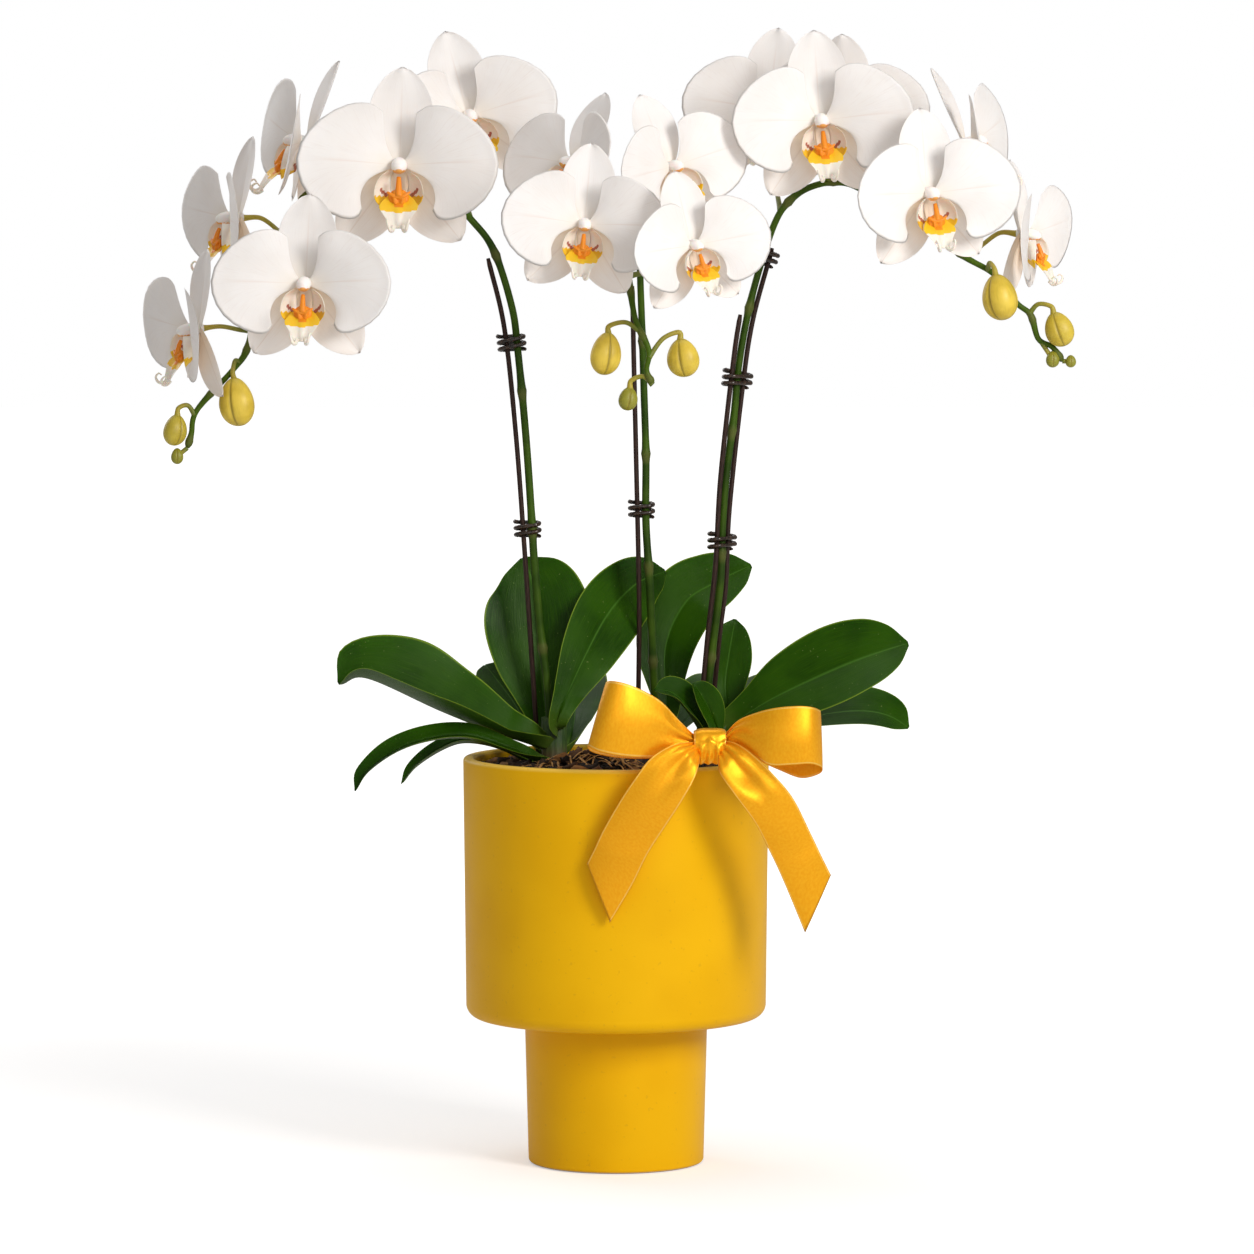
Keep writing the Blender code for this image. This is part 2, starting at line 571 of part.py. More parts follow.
# name: spike, then (height, direction from the stem in degrees, gap past touching in mm)
STAKES = {
    "stake_left": ("left", [(32, 150, 4.4), (99, 176, 0.8), (160, 178, 1.2), (214, 180, 1.6),
                            (249, 180, 0.4)]),
    "stake_centre": ("centre", [(25, 195, CROWN_MM - 2.0), (78, 182, 2.0), (150, 180, 1.2), (200, 180, 0.9),
                                (235, 180, 0.4)]),
    "stake_right_1": ("right", [(30, 75, CROWN_MM - 1.0), (61, 50, 0.8), (86, 40, 0.3), (124, 38, 0.2),
                                (183, 38, 0.2), (218, 38, 0.3), (254, 38, 0.4)]),
    "stake_right_2": ("right", [(28, 215, 1.4), (61, 219, 0.4), (96, 222, 0.2), (140, 223, 0.2),
                                (199, 220, 0.3), (221, 205, 0.5)])}
stake_lines = {}
for name, (spike, rows) in STAKES.items():
    points = []
    for z, direction, gap in rows:
        a = math.radians(direction)
        stem = at_height(spike_lines[spike], z)[0]
        points.append(stem + Vector((math.cos(a), math.sin(a), 0)) * (SPACING + gap * MM))
    slope = (points[0] - points[1]).normalized()
    foot = points[0] + slope * ((points[0].z - (MIX_TOP - STAKE_DEPTH)) / -slope.z)
    line = [foot] + smooth(points, 12)
    stake_lines[name] = line
    tube_curve(name, line, STAKE_RADIUS, 1, parts, STAKE)
    hole("hole_" + name, [bark_topping, growing_mix], foot + slope * 3 * MM, points[0],
         STAKE_RADIUS + CLEAR)

# name, stake, spike, height
TIES = [("tie_left_low", ["stake_left"], "left", 114),
        ("tie_left_high", ["stake_left"], "left", 207),
        ("tie_centre", ["stake_centre"], "centre", 123),
        ("tie_right_low", ["stake_right_1", "stake_right_2"], "right", 108),
        ("tie_right_high", ["stake_right_1", "stake_right_2"], "right", 189),
        ("tie_right_top", ["stake_right_1"], "right", 250)]
for name, stakes, spike, z in TIES:
    stem, axis = at_height(spike_lines[spike], z)
    held = [stem] + [at_height(stake_lines[s], z)[0] for s in stakes]
    left = min(held, key=lambda p: p.x)
    right = max(held, key=lambda p: p.x)
    middle = (left + right) / 2
    across = (right - left)
    half = across.length / 2
    across.normalize()
    across = (across - axis * across.dot(axis)).normalized()
    out = axis.cross(across)
    radius = max(STEM_RADIUS, STAKE_RADIUS) + TIE_WIRE_RADIUS + 0.6 * MM
    count = int(TIE_TURNS * 9)
    points = []
    for i in range(count + 1):
        a = 2 * math.pi * i / 9
        flat = half * math.copysign(min(1.0, abs(math.cos(a)) * 2.2), math.cos(a))
        points.append(middle + across * (flat + radius * math.cos(a)) + out * radius * math.sin(a)
                      + axis * (TIE_PITCH * (i / 9 - TIE_TURNS / 2)))
    tube_curve(name, points, TIE_WIRE_RADIUS, 1, parts, WIRE)

# ---------------------------------------------------------------- bow
KNOT_X = 46.0 * MM
KNOT_OUT = 15.0 * MM
KNOT = Vector((KNOT_X, -math.sqrt(RIM_RADIUS ** 2 - KNOT_X ** 2) - KNOT_OUT, POT_HEIGHT + 12 * MM))


def strip(name, path, rows, fold_out=(0, 0)):
    """A ribbon along rows of (x, y, z, width share, lean) from the knot's centre."""
    knot_room = 7.5 * MM - KNOT_DEPTH / 2
    centres = smooth([Vector((x * MM, y * MM + (knot_room if abs(x) < 10 and y < 0 else 0), z * MM))
                      for x, y, z, w, a in path], 65)
    count = len(path) - 1

    def place(s, t):
        i = min(63, int(t * 64))
        here = centres[i].lerp(centres[i + 1], t * 64 - i)
        walk = [(k / count, path[k][3]) for k in range(count + 1)]
        tilt = [(k / count, path[k][4]) for k in range(count + 1)]
        a = math.radians(between(tilt, t))
        across = Vector((math.sin(a), 0, math.cos(a)))
        return KNOT + here + across * (s * RIBBON_WIDTH / 2 * between(walk, t))

    return sheet(name, 2, rows, place, RIBBON_THICKNESS, RIBBON)


strip("bow_loops", [(0.6, 2.6, 0, .34, 0), (-8, 2.8, 1, .38, 0), (-20, 5, 6, .72, 12),
                    (-40, 3, 12, .95, 18), (-54, -4, 15, 1.0, 20), (-56, -12, 14, 1.0, 20),
                    (-44, -18, 12, 1.0, 14), (-24, -11, 7, .82, 8), (-9, -1.2, 1, .40, 0),
                    (0, -0.4, 0, .34, 0), (9, -1.2, 1, .40, 0), (22, -11, 4, .8, 0),
                    (42, -17, 6, 1.0, -2), (53, -12, 5, 1.0, -2), (54, -3, 3, 1.0, -2),
                    (42, 4, 1, .95, -2), (22, 6, 0, .75, 0), (9, 2.8, 0, .40, 0),
                    (1.8, 2.6, 0, .34, 0)], 38)
strip("bow_tails", [(-48, -6, -74, .9, -66), (-42, -10, -58, 1.0, -62), (-30, -15, -32, 1.0, -55),
                    (-18, -15, -14, .82, -46), (-9, -4.4, -1.5, .30, 0), (0, -3.5, 0, .28, 0),
                    (9, -4.4, -1.5, .30, 0), (19, -14, -14, .82, 46), (32, -10, -34, 1.0, 52),
                    (44, -2, -56, 1.0, 60), (51, 4, -78, .9, 64)], 22)

mesh = bpy.data.meshes.new("bow_knot")
bm = bmesh.new()
bmesh.ops.create_cone(bm, cap_ends=False, segments=20, radius1=1.0, radius2=1.0,
                      depth=KNOT_LENGTH)
bmesh.ops.rotate(bm, verts=bm.verts, matrix=Matrix.Rotation(math.radians(90), 3, "Y"))
for v in bm.verts:
    v.co.y = math.copysign(abs(v.co.y) ** 0.6, v.co.y) * KNOT_DEPTH / 2
    v.co.z = math.copysign(abs(v.co.z) ** 0.6, v.co.z) * KNOT_HEIGHT / 2
bm.to_mesh(mesh)
bm.free()
mesh.shade_smooth()
bow_knot = add("bow_knot", mesh, RIBBON)
bow_knot.location = KNOT
knot_wall = solidify(bow_knot, KNOT_WALL)
knot_wall.offset = -1.0

pick_top = KNOT + Vector((0, KNOT_DEPTH / 2 + CLEAR + PICK_RADIUS, 0))
over = Vector((pick_top.x - 4 * MM, pick_top.y + 16 * MM, POT_HEIGHT + 4.5 * MM))
down = Vector((over.x - 2 * MM, over.y + 7 * MM, TOPPING_TOP + 1 * MM))
foot = Vector((down.x, down.y, MIX_TOP - 45 * MM))
tube_curve("bow_pick", [foot, down] + smooth([down, over, pick_top + Vector((0, 4 * MM, 2 * MM)),
                                              pick_top], 7)[1:], PICK_RADIUS, 1, parts, PICK)
hole("hole_pick", [bark_topping, growing_mix], foot + Vector((0, 0, -3 * MM)), down,
     PICK_RADIUS + CLEAR)
for left_over in [m for m in bpy.data.meshes if not m.users]:
    bpy.data.meshes.remove(left_over)
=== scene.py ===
"""Potted orchid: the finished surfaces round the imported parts.

Lengths in the tables are millimetres, from the pot's axis and above its rim.
"""
import math
import random

import bmesh
import bpy
from mathutils import Matrix, Vector, noise


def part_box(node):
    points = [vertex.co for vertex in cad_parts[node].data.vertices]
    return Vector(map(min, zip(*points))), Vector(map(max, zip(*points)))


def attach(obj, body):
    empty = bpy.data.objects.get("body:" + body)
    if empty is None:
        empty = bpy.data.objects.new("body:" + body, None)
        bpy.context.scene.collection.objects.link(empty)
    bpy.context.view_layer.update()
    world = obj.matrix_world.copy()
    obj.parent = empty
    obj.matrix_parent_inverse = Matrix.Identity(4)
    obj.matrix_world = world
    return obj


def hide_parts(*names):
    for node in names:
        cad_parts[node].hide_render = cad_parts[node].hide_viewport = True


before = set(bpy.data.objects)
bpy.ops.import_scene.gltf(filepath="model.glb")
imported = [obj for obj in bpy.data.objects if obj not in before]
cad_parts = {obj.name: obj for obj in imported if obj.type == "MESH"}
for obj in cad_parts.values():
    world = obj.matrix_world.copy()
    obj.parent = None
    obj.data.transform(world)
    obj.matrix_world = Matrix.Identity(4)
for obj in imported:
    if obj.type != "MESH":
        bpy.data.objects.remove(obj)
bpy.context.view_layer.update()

# ---------------------------------------------------------------- pot
# One slip-cast stoneware pot: a straight bowl on a narrower foot, satin yellow glaze inside and out.
# The glaze thins over the rim, and the foot stands on a wiped ring of bare clay.
MM = 0.001
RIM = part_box("pot")[1].z
RIM_R, BOWL_R, BOWL_EDGE, WALL = 76.5, 75.2, 6.5, 5.5
FOOT_TALL, FOOT_TOP_R, FOOT_R = 73.5, 45.8, 44.0


class Finish:
    """One value or colour in a finish, so that glaze, leaf and petal sums read as arithmetic."""

    def __init__(self, tree, socket=None):
        self.tree, self.socket = tree, socket

    def node(self, kind, settings=None, sockets=None, out=0):
        made = self.tree.nodes.new(kind)
        for key, value in (settings or {}).items():
            if key == "stops":
                marks = made.color_ramp.elements
                for mark, (at, colour) in zip(marks, value):
                    mark.position, mark.color = at, colour
                for at, colour in value[2:]:
                    marks.new(at).color = colour
            else:
                setattr(made, key, value)
        for key, value in (sockets or {}).items():
            if isinstance(value, Finish):
                self.tree.links.new(value.socket, made.inputs[key])
            else:
                made.inputs[key].default_value = value
        return Finish(self.tree, made.outputs[out])

    def maths(self, operation, a, b=0.0):
        return self.node("ShaderNodeMath", {"operation": operation}, {0: a, 1: b})

    def __add__(self, other):
        return self.maths("ADD", self, other)

    def __sub__(self, other):
        return self.maths("SUBTRACT", self, other)

    def __mul__(self, other):
        return self.maths("MULTIPLY", self, other)

    def __rsub__(self, other):
        return self.maths("SUBTRACT", other, self)

    def __abs__(self):
        return self.maths("ABSOLUTE", self)

    def __pow__(self, other):
        return self.maths("POWER", self, other)

    __radd__, __rmul__ = __add__, __mul__


def eased(value, low, high):
    """0 below low and 1 above high, with a soft step between."""
    return value.node("ShaderNodeMapRange", {"interpolation_type": "SMOOTHSTEP"},
                      {"Value": value, "From Min": low, "From Max": high})


def tinted(mask, plain, marked):
    """The plain colour, turning to the marked one where the mask is 1."""
    return mask.node("ShaderNodeMix", {"data_type": "RGBA"}, {0: mask, 6: plain, 7: marked}, 2)


def speckle(place, scale, detail=3.0, rough=0.5):
    return place.node("ShaderNodeTexNoise", {}, {"Vector": place, "Scale": scale, "Detail": detail,
                                                 "Roughness": rough})


def raised(height, strength, depth):
    return height.node("ShaderNodeBump", {}, {"Height": height, "Strength": strength,
                                              "Distance": depth * MM})


def parted(place):
    """The three numbers of a position or a colour."""
    return [place.node("ShaderNodeSeparateXYZ", {}, {0: place}, i) for i in range(3)]


def joined(start, x, y, z=0.0):
    return start.node("ShaderNodeCombineXYZ", {}, {0: x, 1: y, 2: z})


def mixed(name, paint, **fixed):
    """A finish: paint gives the sockets that vary over the surface, fixed the rest."""
    made = bpy.data.materials.new(name)
    made.use_nodes = True
    tree = made.node_tree
    shader = tree.nodes["Principled BSDF"]
    for socket, value in fixed.items():
        shader.inputs[socket.replace("_", " ")].default_value = value
    start = Finish(tree)
    spot = start.node("ShaderNodeTexCoord", out=3)
    along = start.node("ShaderNodeTexCoord", out=2)
    for socket, value in paint(spot, along).items():
        tree.links.new(value.socket, shader.inputs[socket])
    return made


def rgb(r, g, b):
    return (r, g, b, 1.0)


def arc(x, z, r, start, end, count):
    """Points on a rounded corner of a turned outline."""
    turn = [math.radians(start + (end - start) * i / count) for i in range(count + 1)]
    return [(x + r * math.cos(a), z + r * math.sin(a)) for a in turn]


def finished(name, bm, finishes, stands_for=()):
    """Makes the shaped mesh a piece of the orchid, in the place that its mesh gives it."""
    mesh = bpy.data.meshes.new(name)
    bm.to_mesh(mesh)
    bm.free()
    for finish in finishes:
        mesh.materials.append(finish)
    mesh.shade_smooth()
    made = bpy.data.objects.new(name, mesh)
    bpy.context.scene.collection.objects.link(made)
    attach(made, "root")
    if stands_for:
        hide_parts(*stands_for)
    return made


def glaze(spot, along):
    z = parted(spot)[2]
    cloud = speckle(spot, 18.0, 2.0)
    fine = speckle(spot, 900.0, 3.0)
    pits = eased(speckle(spot, 420.0, 1.0), 0.70, 0.76)
    thin = eased(z, RIM - 0.0022, RIM - 0.0004)
    bare = 1.0 - eased(z, 0.0004, 0.0009)
    body = tinted(eased(cloud, 0.35, 0.65), rgb(0.79, 0.415, 0.0010), rgb(0.84, 0.455, 0.002))
    body = tinted(thin * 0.55, body, rgb(0.93, 0.66, 0.14))
    body = tinted(pits * 0.25, body, rgb(0.55, 0.27, 0.01))
    body = tinted(bare, body, rgb(0.62, 0.47, 0.33))
    return {"Base Color": body, "Roughness": 0.36 + fine * 0.14 + bare * 0.4,
            "Normal": raised(fine * 0.5 + cloud * 2.0 - pits, 0.12, 0.25)}


GLAZE = mixed("satin_yellow_glaze", glaze, Coat_Weight=0.03, Coat_Roughness=0.3, Specular_IOR_Level=0.16,
              Specular_Tint=rgb(1.0, 0.85, 0.45))

bowl_base = FOOT_TALL + BOWL_EDGE
rim_mm = RIM / MM
outline = [(0, 8), (38, 8), (39.8, FOOT_TALL - 4), (40, 79)]
outline += arc(BOWL_R - WALL - 4, 83, 4, -90, 0, 5)
outline += [(BOWL_R - WALL + 0.6, 150)]
outline += arc(RIM_R - WALL + 1.8, rim_mm - 1.8, 1.8, 180, 90, 6)
outline += arc(RIM_R - 1.8, rim_mm - 1.8, 1.8, 90, 0, 6)
outline += [(RIM_R - 1.3 * k / 12, rim_mm - 2 - (rim_mm - 2 - bowl_base) * k / 12) for k in range(1, 12)]
outline += arc(BOWL_R - BOWL_EDGE, bowl_base, BOWL_EDGE, 0, -90, 10)
outline += arc(FOOT_TOP_R + 1.5, FOOT_TALL - 1.5, 1.5, 90, 180, 4)
outline += [(FOOT_TOP_R - 1.8 * k / 6, FOOT_TALL - 2 - (FOOT_TALL - 4) * k / 6) for k in range(1, 6)]
outline += arc(FOOT_R - 2, 2, 2, 0, -90, 6)
outline += [(37, 0), (35.5, 1.2), (0, 1.2)]
bm = bmesh.new()
line = [bm.verts.new((r * MM, 0, z * MM)) for r, z in outline]
line += [bm.edges.new(pair) for pair in zip(line, line[1:])]
bmesh.ops.spin(bm, geom=line, cent=(0, 0, 0), axis=(0, 0, 1), angle=2 * math.pi, steps=160,
               use_merge=True)
bmesh.ops.remove_doubles(bm, verts=bm.verts, dist=1e-6)
bmesh.ops.recalc_face_normals(bm, faces=bm.faces)
finished("glazed_pot", bm, [GLAZE], ["pot"])


# ---------------------------------------------------------------- growing mix and bark topping
# A coarse mix fills the pot. Over it lies loose fir bark, heaped a little at the front, with
# dry strips of straw-coloured fibre among the chips.
def mix_of_bark(spot, along):
    grain = speckle(spot, 260.0, 5.0, 0.65)
    return {"Base Color": tinted(eased(grain, 0.35, 0.7), rgb(0.012, 0.007, 0.004), rgb(0.09, 0.045, 0.02)),
            "Roughness": 0.75 + grain * 0.2, "Normal": raised(grain, 0.8, 1.2)}


for old in ("growing_mix",):
    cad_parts[old].data.materials.clear()
    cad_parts[old].data.materials.append(mixed("coarse_mix", mix_of_bark))


def fresh():
    """An empty part, with the UV map and the paint marks that every part of the orchid carries."""
    part = bmesh.new()
    part.loops.layers.uv.new("uv")
    part.verts.layers.float_color.new("paint")
    return part


def add_part(bm, part):
    """Adds a shaped part to the piece that it belongs to."""
    held = bpy.data.meshes.new("part")
    part.to_mesh(held)
    part.free()
    bm.from_mesh(held)
    bpy.data.meshes.remove(held)


def wrap(bm, around, along, place, slot=0, paint=None):
    """A closed skin: place(angle, t) puts each point of a sleeve that is round in angle and long in t.
    paint(point) gives three marks between 0 and 1 that the finish can read."""
    part = fresh()
    lay, marks = part.loops.layers.uv["uv"], part.verts.layers.float_color["paint"]
    verts = bmesh.ops.create_grid(part, x_segments=around, y_segments=along, size=1.0)["verts"]
    for face in part.faces:
        for loop in face.loops:
            loop[lay].uv = ((loop.vert.co.x + 1) / 2, (loop.vert.co.y + 1) / 2)
    for v in verts:
        v.co = place((v.co.x + 1) * math.pi, (v.co.y + 1) / 2)
        v[marks] = (*paint(v.co), 1.0) if paint else (0.0, 0.0, 0.0, 1.0)
    size = max(v.co.length for v in part.verts)
    bmesh.ops.remove_doubles(part, verts=part.verts, dist=max(2e-6, 1.5e-6 * size))
    open_edges = [e for e in part.edges if e.is_boundary]
    if open_edges:
        bmesh.ops.holes_fill(part, edges=open_edges, sides=0)
    for face in part.faces:
        face.material_index = slot
    bmesh.ops.recalc_face_normals(part, faces=part.faces)
    add_part(bm, part)


def bark_paint(spot, along):
    chip = parted(spot.node("ShaderNodeAttribute", {"attribute_name": "paint"}))[0]
    grain = speckle(spot, 420.0, 4.0, 0.6)
    layers = speckle(spot.node("ShaderNodeMapping", {}, {0: spot, "Scale": (1.0, 1.0, 4.0)}), 300.0, 2.0)
    tone = chip.node("ShaderNodeValToRGB", {"stops": [
        (0.0, rgb(0.010, 0.006, 0.004)), (0.45, rgb(0.035, 0.017, 0.008)),
        (0.75, rgb(0.105, 0.047, 0.018)), (1.0, rgb(0.34, 0.16, 0.05))]}, {0: chip + layers * 0.3 - 0.15})
    return {"Base Color": tinted(eased(grain, 0.55, 0.8) * 0.5, tone, rgb(0.20, 0.10, 0.045)),
            "Roughness": 0.68 + grain * 0.3, "Normal": raised(grain + layers, 0.7, 0.6)}


def heap(x, y):
    """How high the bark lies over the pot's rim."""
    front = math.exp(-(((x + 12) / 24) ** 2 + ((y + 34) / 26) ** 2))
    return -6.5 + 9.0 * front + 2.2 * noise.noise(Vector((x / 14, y / 14, 3.1)))


def mound(a, t):
    if t <= 0.8:
        r = 70.4 * t / 0.8
        return Vector((r * math.cos(a) * MM, r * math.sin(a) * MM,
                       RIM + (heap(r * math.cos(a), r * math.sin(a)) - 1.2) * MM))
    if t < 0.95:
        return Vector((69.8 * math.cos(a) * MM, 69.8 * math.sin(a) * MM, RIM - 21 * MM))
    return Vector((0, 0, RIM - 21 * MM))


dice = random.Random(11)
bark = fresh()
wrap(bark, 72, 40, mound)
for k in range(620):
    chip = fresh()
    marks = chip.verts.layers.float_color["paint"]
    bmesh.ops.create_cube(chip, size=1.0)
    bmesh.ops.subdivide_edges(chip, edges=chip.edges, cuts=1, use_grid_fill=True)
    size = Vector((dice.uniform(5, 12), dice.uniform(3.5, 7), dice.uniform(1.6, 3.6)))
    tone = dice.random() ** 1.6
    reach = 66.5 * math.sqrt(dice.random())
    a = dice.uniform(0, 2 * math.pi)
    x, y = reach * math.cos(a), reach * math.sin(a)
    seed = Vector((k * 1.7, k * 0.3, 0))
    for v in chip.verts:
        v[marks] = (tone, 0.0, 0.0, 1.0)
        knock = noise.noise_vector(v.co * 1.9 + seed) * 0.34
        v.co = Vector(((v.co.x * (0.86 + 0.14 * abs(v.co.z)) + knock.x) * size.x,
                       (v.co.y + knock.y) * size.y, (v.co.z + knock.z * 0.5) * size.z))
    pose = (Matrix.Translation(Vector((x * MM, y * MM, RIM + (heap(x, y) + dice.uniform(-0.6, 1.5)) * MM)))
            @ Matrix.Rotation(dice.uniform(0, math.pi), 4, "Z")
            @ Matrix.Rotation(dice.gauss(0, 0.42), 4, "X") @ Matrix.Rotation(dice.gauss(0, 0.35), 4, "Y")
            @ Matrix.Scale(MM, 4))
    bmesh.ops.transform(chip, matrix=pose, verts=chip.verts)
    add_part(bark, chip)
finished("bark_heap", bark, [mixed("fir_bark", bark_paint, Specular_IOR_Level=0.3)], ["bark_topping"])


def straw_paint(spot, along):
    grain = speckle(spot, 500.0, 3.0)
    return {"Base Color": tinted(eased(grain, 0.3, 0.7), rgb(0.30, 0.13, 0.03), rgb(0.62, 0.34, 0.10)),
            "Roughness": 0.6 + grain * 0.2, "Normal": raised(grain, 0.4, 0.2)}


straw = fresh()
for k in range(150):
    reach, a = 64 * math.sqrt(dice.random()), dice.uniform(0, 2 * math.pi)
    x, y = reach * math.cos(a), reach * math.sin(a)
    if k < 60:
        x, y = dice.gauss(-14, 17), dice.gauss(-42, 14)
    if math.hypot(x, y) > 62:
        x, y = x * 0.6, y * 0.6
    way = dice.uniform(0, math.pi)
    span, bend, hump = dice.uniform(5, 11), dice.uniform(-0.5, 0.5), dice.uniform(0.8, 3.2)
    wide = dice.uniform(0.45, 1.0)

    def strand(angle, t):
        u = (t - 0.5) * 2 * span
        turn = way + bend * (t - 0.5)
        px, py = x + u * math.cos(turn), y + u * math.sin(turn)
        over = math.hypot(px, py) / 69.0
        if over > 1:
            px, py = px / over, py / over
        side = wide * math.cos(angle) * (1 - 0.6 * abs(2 * t - 1) ** 3)
        return Vector(((px - side * math.sin(turn)) * MM, (py + side * math.cos(turn)) * MM,
                       RIM + (heap(px, py) + 1.4 + hump * math.sin(math.pi * t) + 0.22 * math.sin(angle)) * MM))

    wrap(straw, 4, 8, strand)
finished("straw_strips", straw, [mixed("dry_straw", straw_paint)])


# ---------------------------------------------------------------- crowns
# Each plant's short stem: the sheaths of older leaves lie over each other round it, green at the
# top and dry and brown where they meet the bark.
def mm(x, y, z):
    """A point from the pot's axis and above its rim."""
    return Vector((x * MM, y * MM, RIM + z * MM))


def crown_paint(spot, along):
    z = parted(spot)[2]
    grain = speckle(spot.node("ShaderNodeMapping", {}, {0: spot, "Scale": (1.0, 1.0, 0.2)}), 900.0, 3.0)
    green = tinted(eased(grain, 0.3, 0.7), rgb(0.012, 0.042, 0.002), rgb(0.035, 0.085, 0.005))
    return {"Base Color": tinted(1.0 - eased(z, RIM - 0.004, RIM + 0.008), green, rgb(0.10, 0.05, 0.02)),
            "Roughness": 0.45 + grain * 0.2, "Normal": raised(grain, 0.5, 0.4)}


CROWNS = {"left": (-31, 5), "centre": (20, 34), "right": (51, 8)}
crown_green = mixed("crown_sheath", crown_paint)
for side, (cx, cy) in CROWNS.items():
    bm = fresh()

    def sheath(a, t):
        layer = 1.0 if t < 0.45 + 0.12 * math.cos(a - 0.6) else 0.88
        r = (6.9 - 0.9 * t) * layer * (0.985 + 0.015 * math.cos(14 * a)) * (1 if 0 < t < 1 else 0)
        oval = 1 + 0.22 * t
        mouth = 4.0 * t ** 3 * math.cos(2 * a)
        return mm(cx + r * oval * math.cos(a), cy + r / oval * math.sin(a), -22.5 + 39.0 * t + mouth)

    wrap(bm, 84, 48, sheath)
    finished("crown_of_" + side, bm, [crown_green], ["crown_" + side])


# ---------------------------------------------------------------- leaves
# Thick, leathery moth orchid leaves: folded along a sunken midrib, glossy dark green above, paler
# below, with a thin yellow-green margin. Each base clasps its crown.
LEAF_SHAPE = [(0, 0.34), (0.12, 0.46), (0.35, 0.82), (0.60, 1.0), (0.80, 0.86), (0.93, 0.52), (1, 0.06)]
STRAP_SHAPE = [(0, 0.6), (0.3, 0.95), (0.7, 1.0), (0.9, 0.62), (1, 0.06)]


def spread(points, count):
    """Evenly spaced points on a smooth curve through the given ones."""
    ends = [2 * points[0] - points[1]] + list(points) + [2 * points[-1] - points[-2]]
    fine = []
    for a, b, c, d in zip(ends, ends[1:], ends[2:], ends[3:]):
        for k in range(16):
            t = k / 16
            fine.append(0.5 * ((2 * b) + (c - a) * t + (2 * a - 5 * b + 4 * c - d) * t * t
                               + (3 * b - 3 * c + d - a) * t ** 3))
    fine.append(points[-1].copy())
    run = [0.0]
    for a, b in zip(fine, fine[1:]):
        run.append(run[-1] + (b - a).length)
    out, j = [], 0
    for i in range(count):
        want = run[-1] * i / (count - 1)
        while j < len(run) - 2 and run[j + 1] < want:
            j += 1
        out.append(fine[j].lerp(fine[j + 1], min(1.0, (want - run[j]) / max(run[j + 1] - run[j], 1e-9))))
    return out


def rounded(table, t):
    """A value from a table of (t, value), on a smooth curve."""
    k = 0
    while k < len(table) - 2 and t > table[k + 1][0]:
        k += 1
    (ta, va), (tb, vb) = table[k], table[k + 1]
    before = table[max(0, k - 1)]
    after = table[min(len(table) - 1, k + 2)]
    slope_a = (vb - before[1]) / max(tb - before[0], 1e-6)
    slope_b = (after[1] - va) / max(after[0] - ta, 1e-6)
    u, gap = (t - ta) / (tb - ta), tb - ta
    return ((2 * u ** 3 - 3 * u ** 2 + 1) * va + (u ** 3 - 2 * u ** 2 + u) * gap * slope_a
            + (3 * u ** 2 - 2 * u ** 3) * vb + (u ** 3 - u ** 2) * gap * slope_b)


def blade(bm, surface, thickness, around, along, slot=0, paint=None):
    """A thin closed blade round surface(s, t), with s from -1 to 1 across it and t from 0 to 1 along it."""

    def place(a, t):
        s = math.cos(a)
        across = surface(min(s + 0.03, 1), t) - surface(max(s - 0.03, -1), t)
        onward = surface(s, min(t + 0.02, 1)) - surface(s, max(t - 0.02, 0))
        out = across.cross(onward)
        if out.length < 1e-14:
            out = Vector((0, 0, 1))
        ends = min(1.0, 30 * t, 30 * (1 - t)) ** 0.5
        return surface(s, t) + out.normalized() * (math.sin(a) * ends * thickness(s, t) / 2)

    wrap(bm, around, along, place, slot, paint)


def leaf_paint(spot, along):
    u, v, _ = parted(along)
    s = along.maths("COSINE", u * (2 * math.pi))
    under = eased(u, 0.495, 0.505)
    side = abs(s)
    lines = speckle(joined(along, s * 11.0, v * 1.3), 5.0, 5.0, 0.6)
    bands = speckle(joined(along, s * 26.0, v * 0.6, 4.0), 3.0, 2.0)
    cloud = speckle(spot, 28.0, 3.0)
    specks = eased(speckle(spot, 700.0, 1.0), 0.745, 0.79)
    body = tinted(eased(cloud, 0.3, 0.7), rgb(0.007, 0.034, 0.0004), rgb(0.020, 0.072, 0.0008))
    body = tinted(eased(lines, 0.45, 0.75) * 0.45, body, rgb(0.036, 0.105, 0.001))
    body = tinted(under * 0.75, body, rgb(0.030, 0.075, 0.006))
    body = tinted(1.0 - eased(side, 0.0, 0.055), body, rgb(0.045, 0.130, 0.012))
    body = tinted(eased(side, 0.955, 0.995) * 0.8, body, rgb(0.20, 0.30, 0.025))
    body = tinted((1.0 - eased(v, 0.0, 0.16)) * 0.55, body, rgb(0.11, 0.17, 0.025))
    body = tinted(specks * 0.35, body, rgb(0.25, 0.33, 0.10))
    return {"Base Color": body, "Roughness": 0.24 + lines * 0.14 + under * 0.16,
            "Normal": raised(lines * 0.6 + bands - eased(0.09 - side, 0.0, 0.09) * 0.8, 0.30, 0.5)}


LEAF = mixed("leaf_green", leaf_paint, Subsurface_Weight=0.04, Subsurface_Scale=0.004,
             Subsurface_Radius=(0.4, 1.0, 0.2), Coat_Weight=0.03, Coat_Roughness=0.2,
             Specular_IOR_Level=0.11, Specular_Tint=rgb(0.75, 1.0, 0.55))


